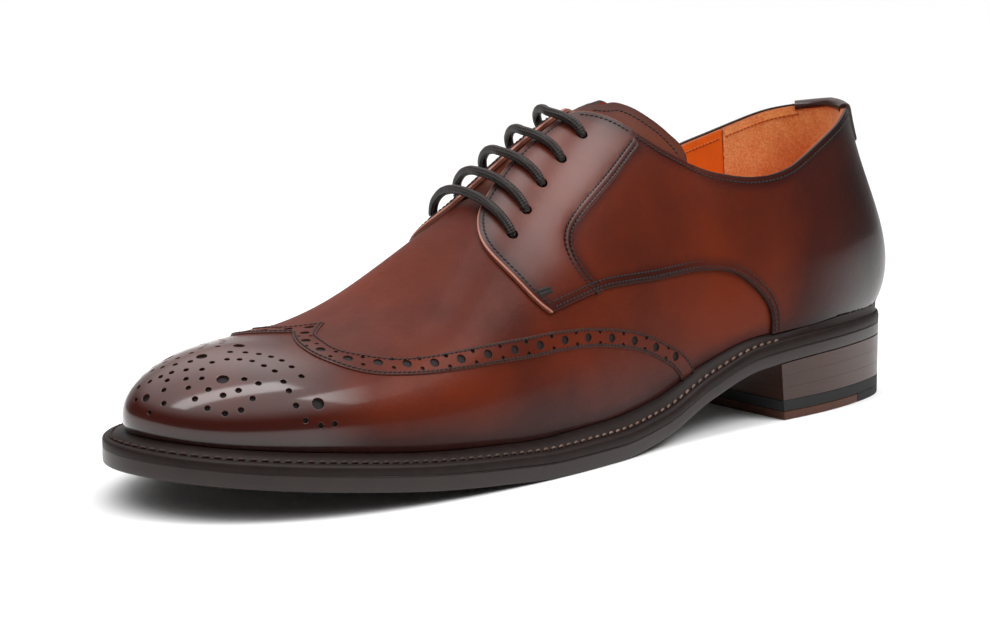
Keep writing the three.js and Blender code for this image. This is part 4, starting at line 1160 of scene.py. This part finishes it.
def cord_along(name, path, width, finish, sides=14, **about):
    path = np.asarray(path)
    run = np.r_[0, np.cumsum(np.linalg.norm(np.diff(path, axis=0), axis=1))]
    ahead = unit(np.gradient(path, axis=0))
    up = np.array([0.25, 0, 1.0])
    across = unit(np.cross(ahead, up))
    out = np.cross(across, ahead)
    turn = np.arange(sides) * 2 * math.pi / sides
    ring = path[:, None] + width / 2 * (np.cos(turn)[None, :, None] * across[:, None] + np.sin(turn)[None, :, None] * out[:, None])
    count = len(path)
    faces = [(i * sides + k, i * sides + (k + 1) % sides, (i + 1) * sides + (k + 1) % sides, (i + 1) * sides + k)
             for i in range(count - 1) for k in range(sides)]
    faces += [tuple(range(sides - 1, -1, -1)), tuple((count - 1) * sides + k for k in range(sides))]
    weave_ = np.stack(np.broadcast_arrays(run[:, None], turn[None, :], 0.0), -1).reshape(-1, 3)
    return assemble(name, ring.reshape(-1, 3), faces, [finish], marks={"weave": weave_}, sharp=80, **about)


def bend_points(rows, count):
    path = bend(np.asarray(rows, float), 16)
    run = np.r_[0, np.cumsum(np.linalg.norm(np.diff(path, axis=0), axis=1))]
    marks = np.linspace(0, run[-1], count)
    return np.stack([np.interp(marks, run, path[:, k]) for k in range(3)], 1)


for k, (at, up) in enumerate(EYELETS):
    rest = 1 - up
    rows = [layer(at, up, -0.5), layer(at, up + rest * 0.01, 0.8), layer(at, up + rest * 0.06, 2.0), layer(at, up + rest * 0.16, 2.8),
            layer(at, up + rest * 0.34, 3.3),
            layer(at, up + rest * 0.6, 3.5), layer(at, up + rest * 0.85, 3.9), layer(360 - at, 0.995, 4.5),
            layer(360 - at, up + rest * 0.75, 5.1), layer(360 - at, up + rest * 0.5, 5.5), layer(360 - at, up + rest * 0.24, 5.0),
            layer(360 - at, up + rest * 0.05, 3.4), layer(360 - at, up - rest * 0.01, 1.6), layer(360 - at, up, -0.2)]
    cord_along(f"lace_bar_{k + 1}", bend_points(rows, 90), 3.0, lace_cord, slot="lace_cotton", nodes=[f"lace_bar_{k + 1}"])

# The welt's stitches: thick pale thread in the groove.
welt_cord = Finish("welt_thread")
# The thread turns darker from the waist toward the toe.
toward_toe = welt_cord.node("SeparateXYZ", None, {0: welt_cord.place()}).between(0.11, 0.2)
ply, blots = welt_cord.noise(0.5, 2), welt_cord.noise(6, 3)
welt_thread = welt_cord.surface(
    Base_Color=welt_cord.blend(toward_toe, welt_cord.blend(blots, (0.26, 0.16, 0.125), (0.05, 0.028, 0.022)), (0.04, 0.021, 0.016)),
    Roughness=0.6 + (blots - 0.5) * 0.1, Normal=welt_cord.bump(ply, 0.1), Specular_IOR_Level=0.2)


def welt_stitches():
    turn = np.linspace(BREAST, 360 - BREAST, 3601)
    x = feather_x(turn)
    wide = welt_out(turn)
    out = 0.5 + (wide - 0.5) * 0.62
    flat = np.stack([x, side(turn)], -1) + outward(turn) * out[:, None]
    z = feather(x) + (welt_edge(x) - feather(x)) * 0.62
    path = np.column_stack([flat, z])
    run = np.r_[0, np.cumsum(np.linalg.norm(np.diff(path, axis=0), axis=1))]
    marks = np.linspace(0, run[-1], round(run[-1] / 3.4) + 1)
    spots = np.stack([np.interp(marks, run, path[:, k]) for k in range(3)], 1)
    centre, ahead = (spots[1:] + spots[:-1]) / 2, unit(np.diff(spots, axis=0))
    across = unit(np.cross([0, 0, 1.0], ahead))
    up = np.cross(ahead, across)
    lay = unit(ahead + across * 0.22)
    points, faces = [], []
    for i in range(len(centre)):
        first = len(points)
        for s, high, size in ((-0.5, -0.5, 0.5), (-0.4, -0.1, 0.9), (-0.15, 0.1, 1), (0.15, 0.1, 1), (0.4, -0.1, 0.9), (0.5, -0.5, 0.5)):
            for turn_ in np.arange(7) * 2 * math.pi / 7:
                points.append(centre[i] + lay[i] * s * 2.2 + across[i] * math.cos(turn_) * 0.38 * size
                              + up[i] * (math.sin(turn_) * size + high) * 0.42)
        for r in range(5):
            for k in range(7):
                a, b = first + r * 7 + k, first + r * 7 + (k + 1) % 7
                faces.append((a, b, b + 7, a + 7))
        faces += [tuple(first + 6 - k for k in range(7)), tuple(first + 35 + k for k in range(7))]
    assemble("welt_stitching", np.array(points), faces, [welt_thread], sharp=80, slot="welt_leather")


welt_stitches()
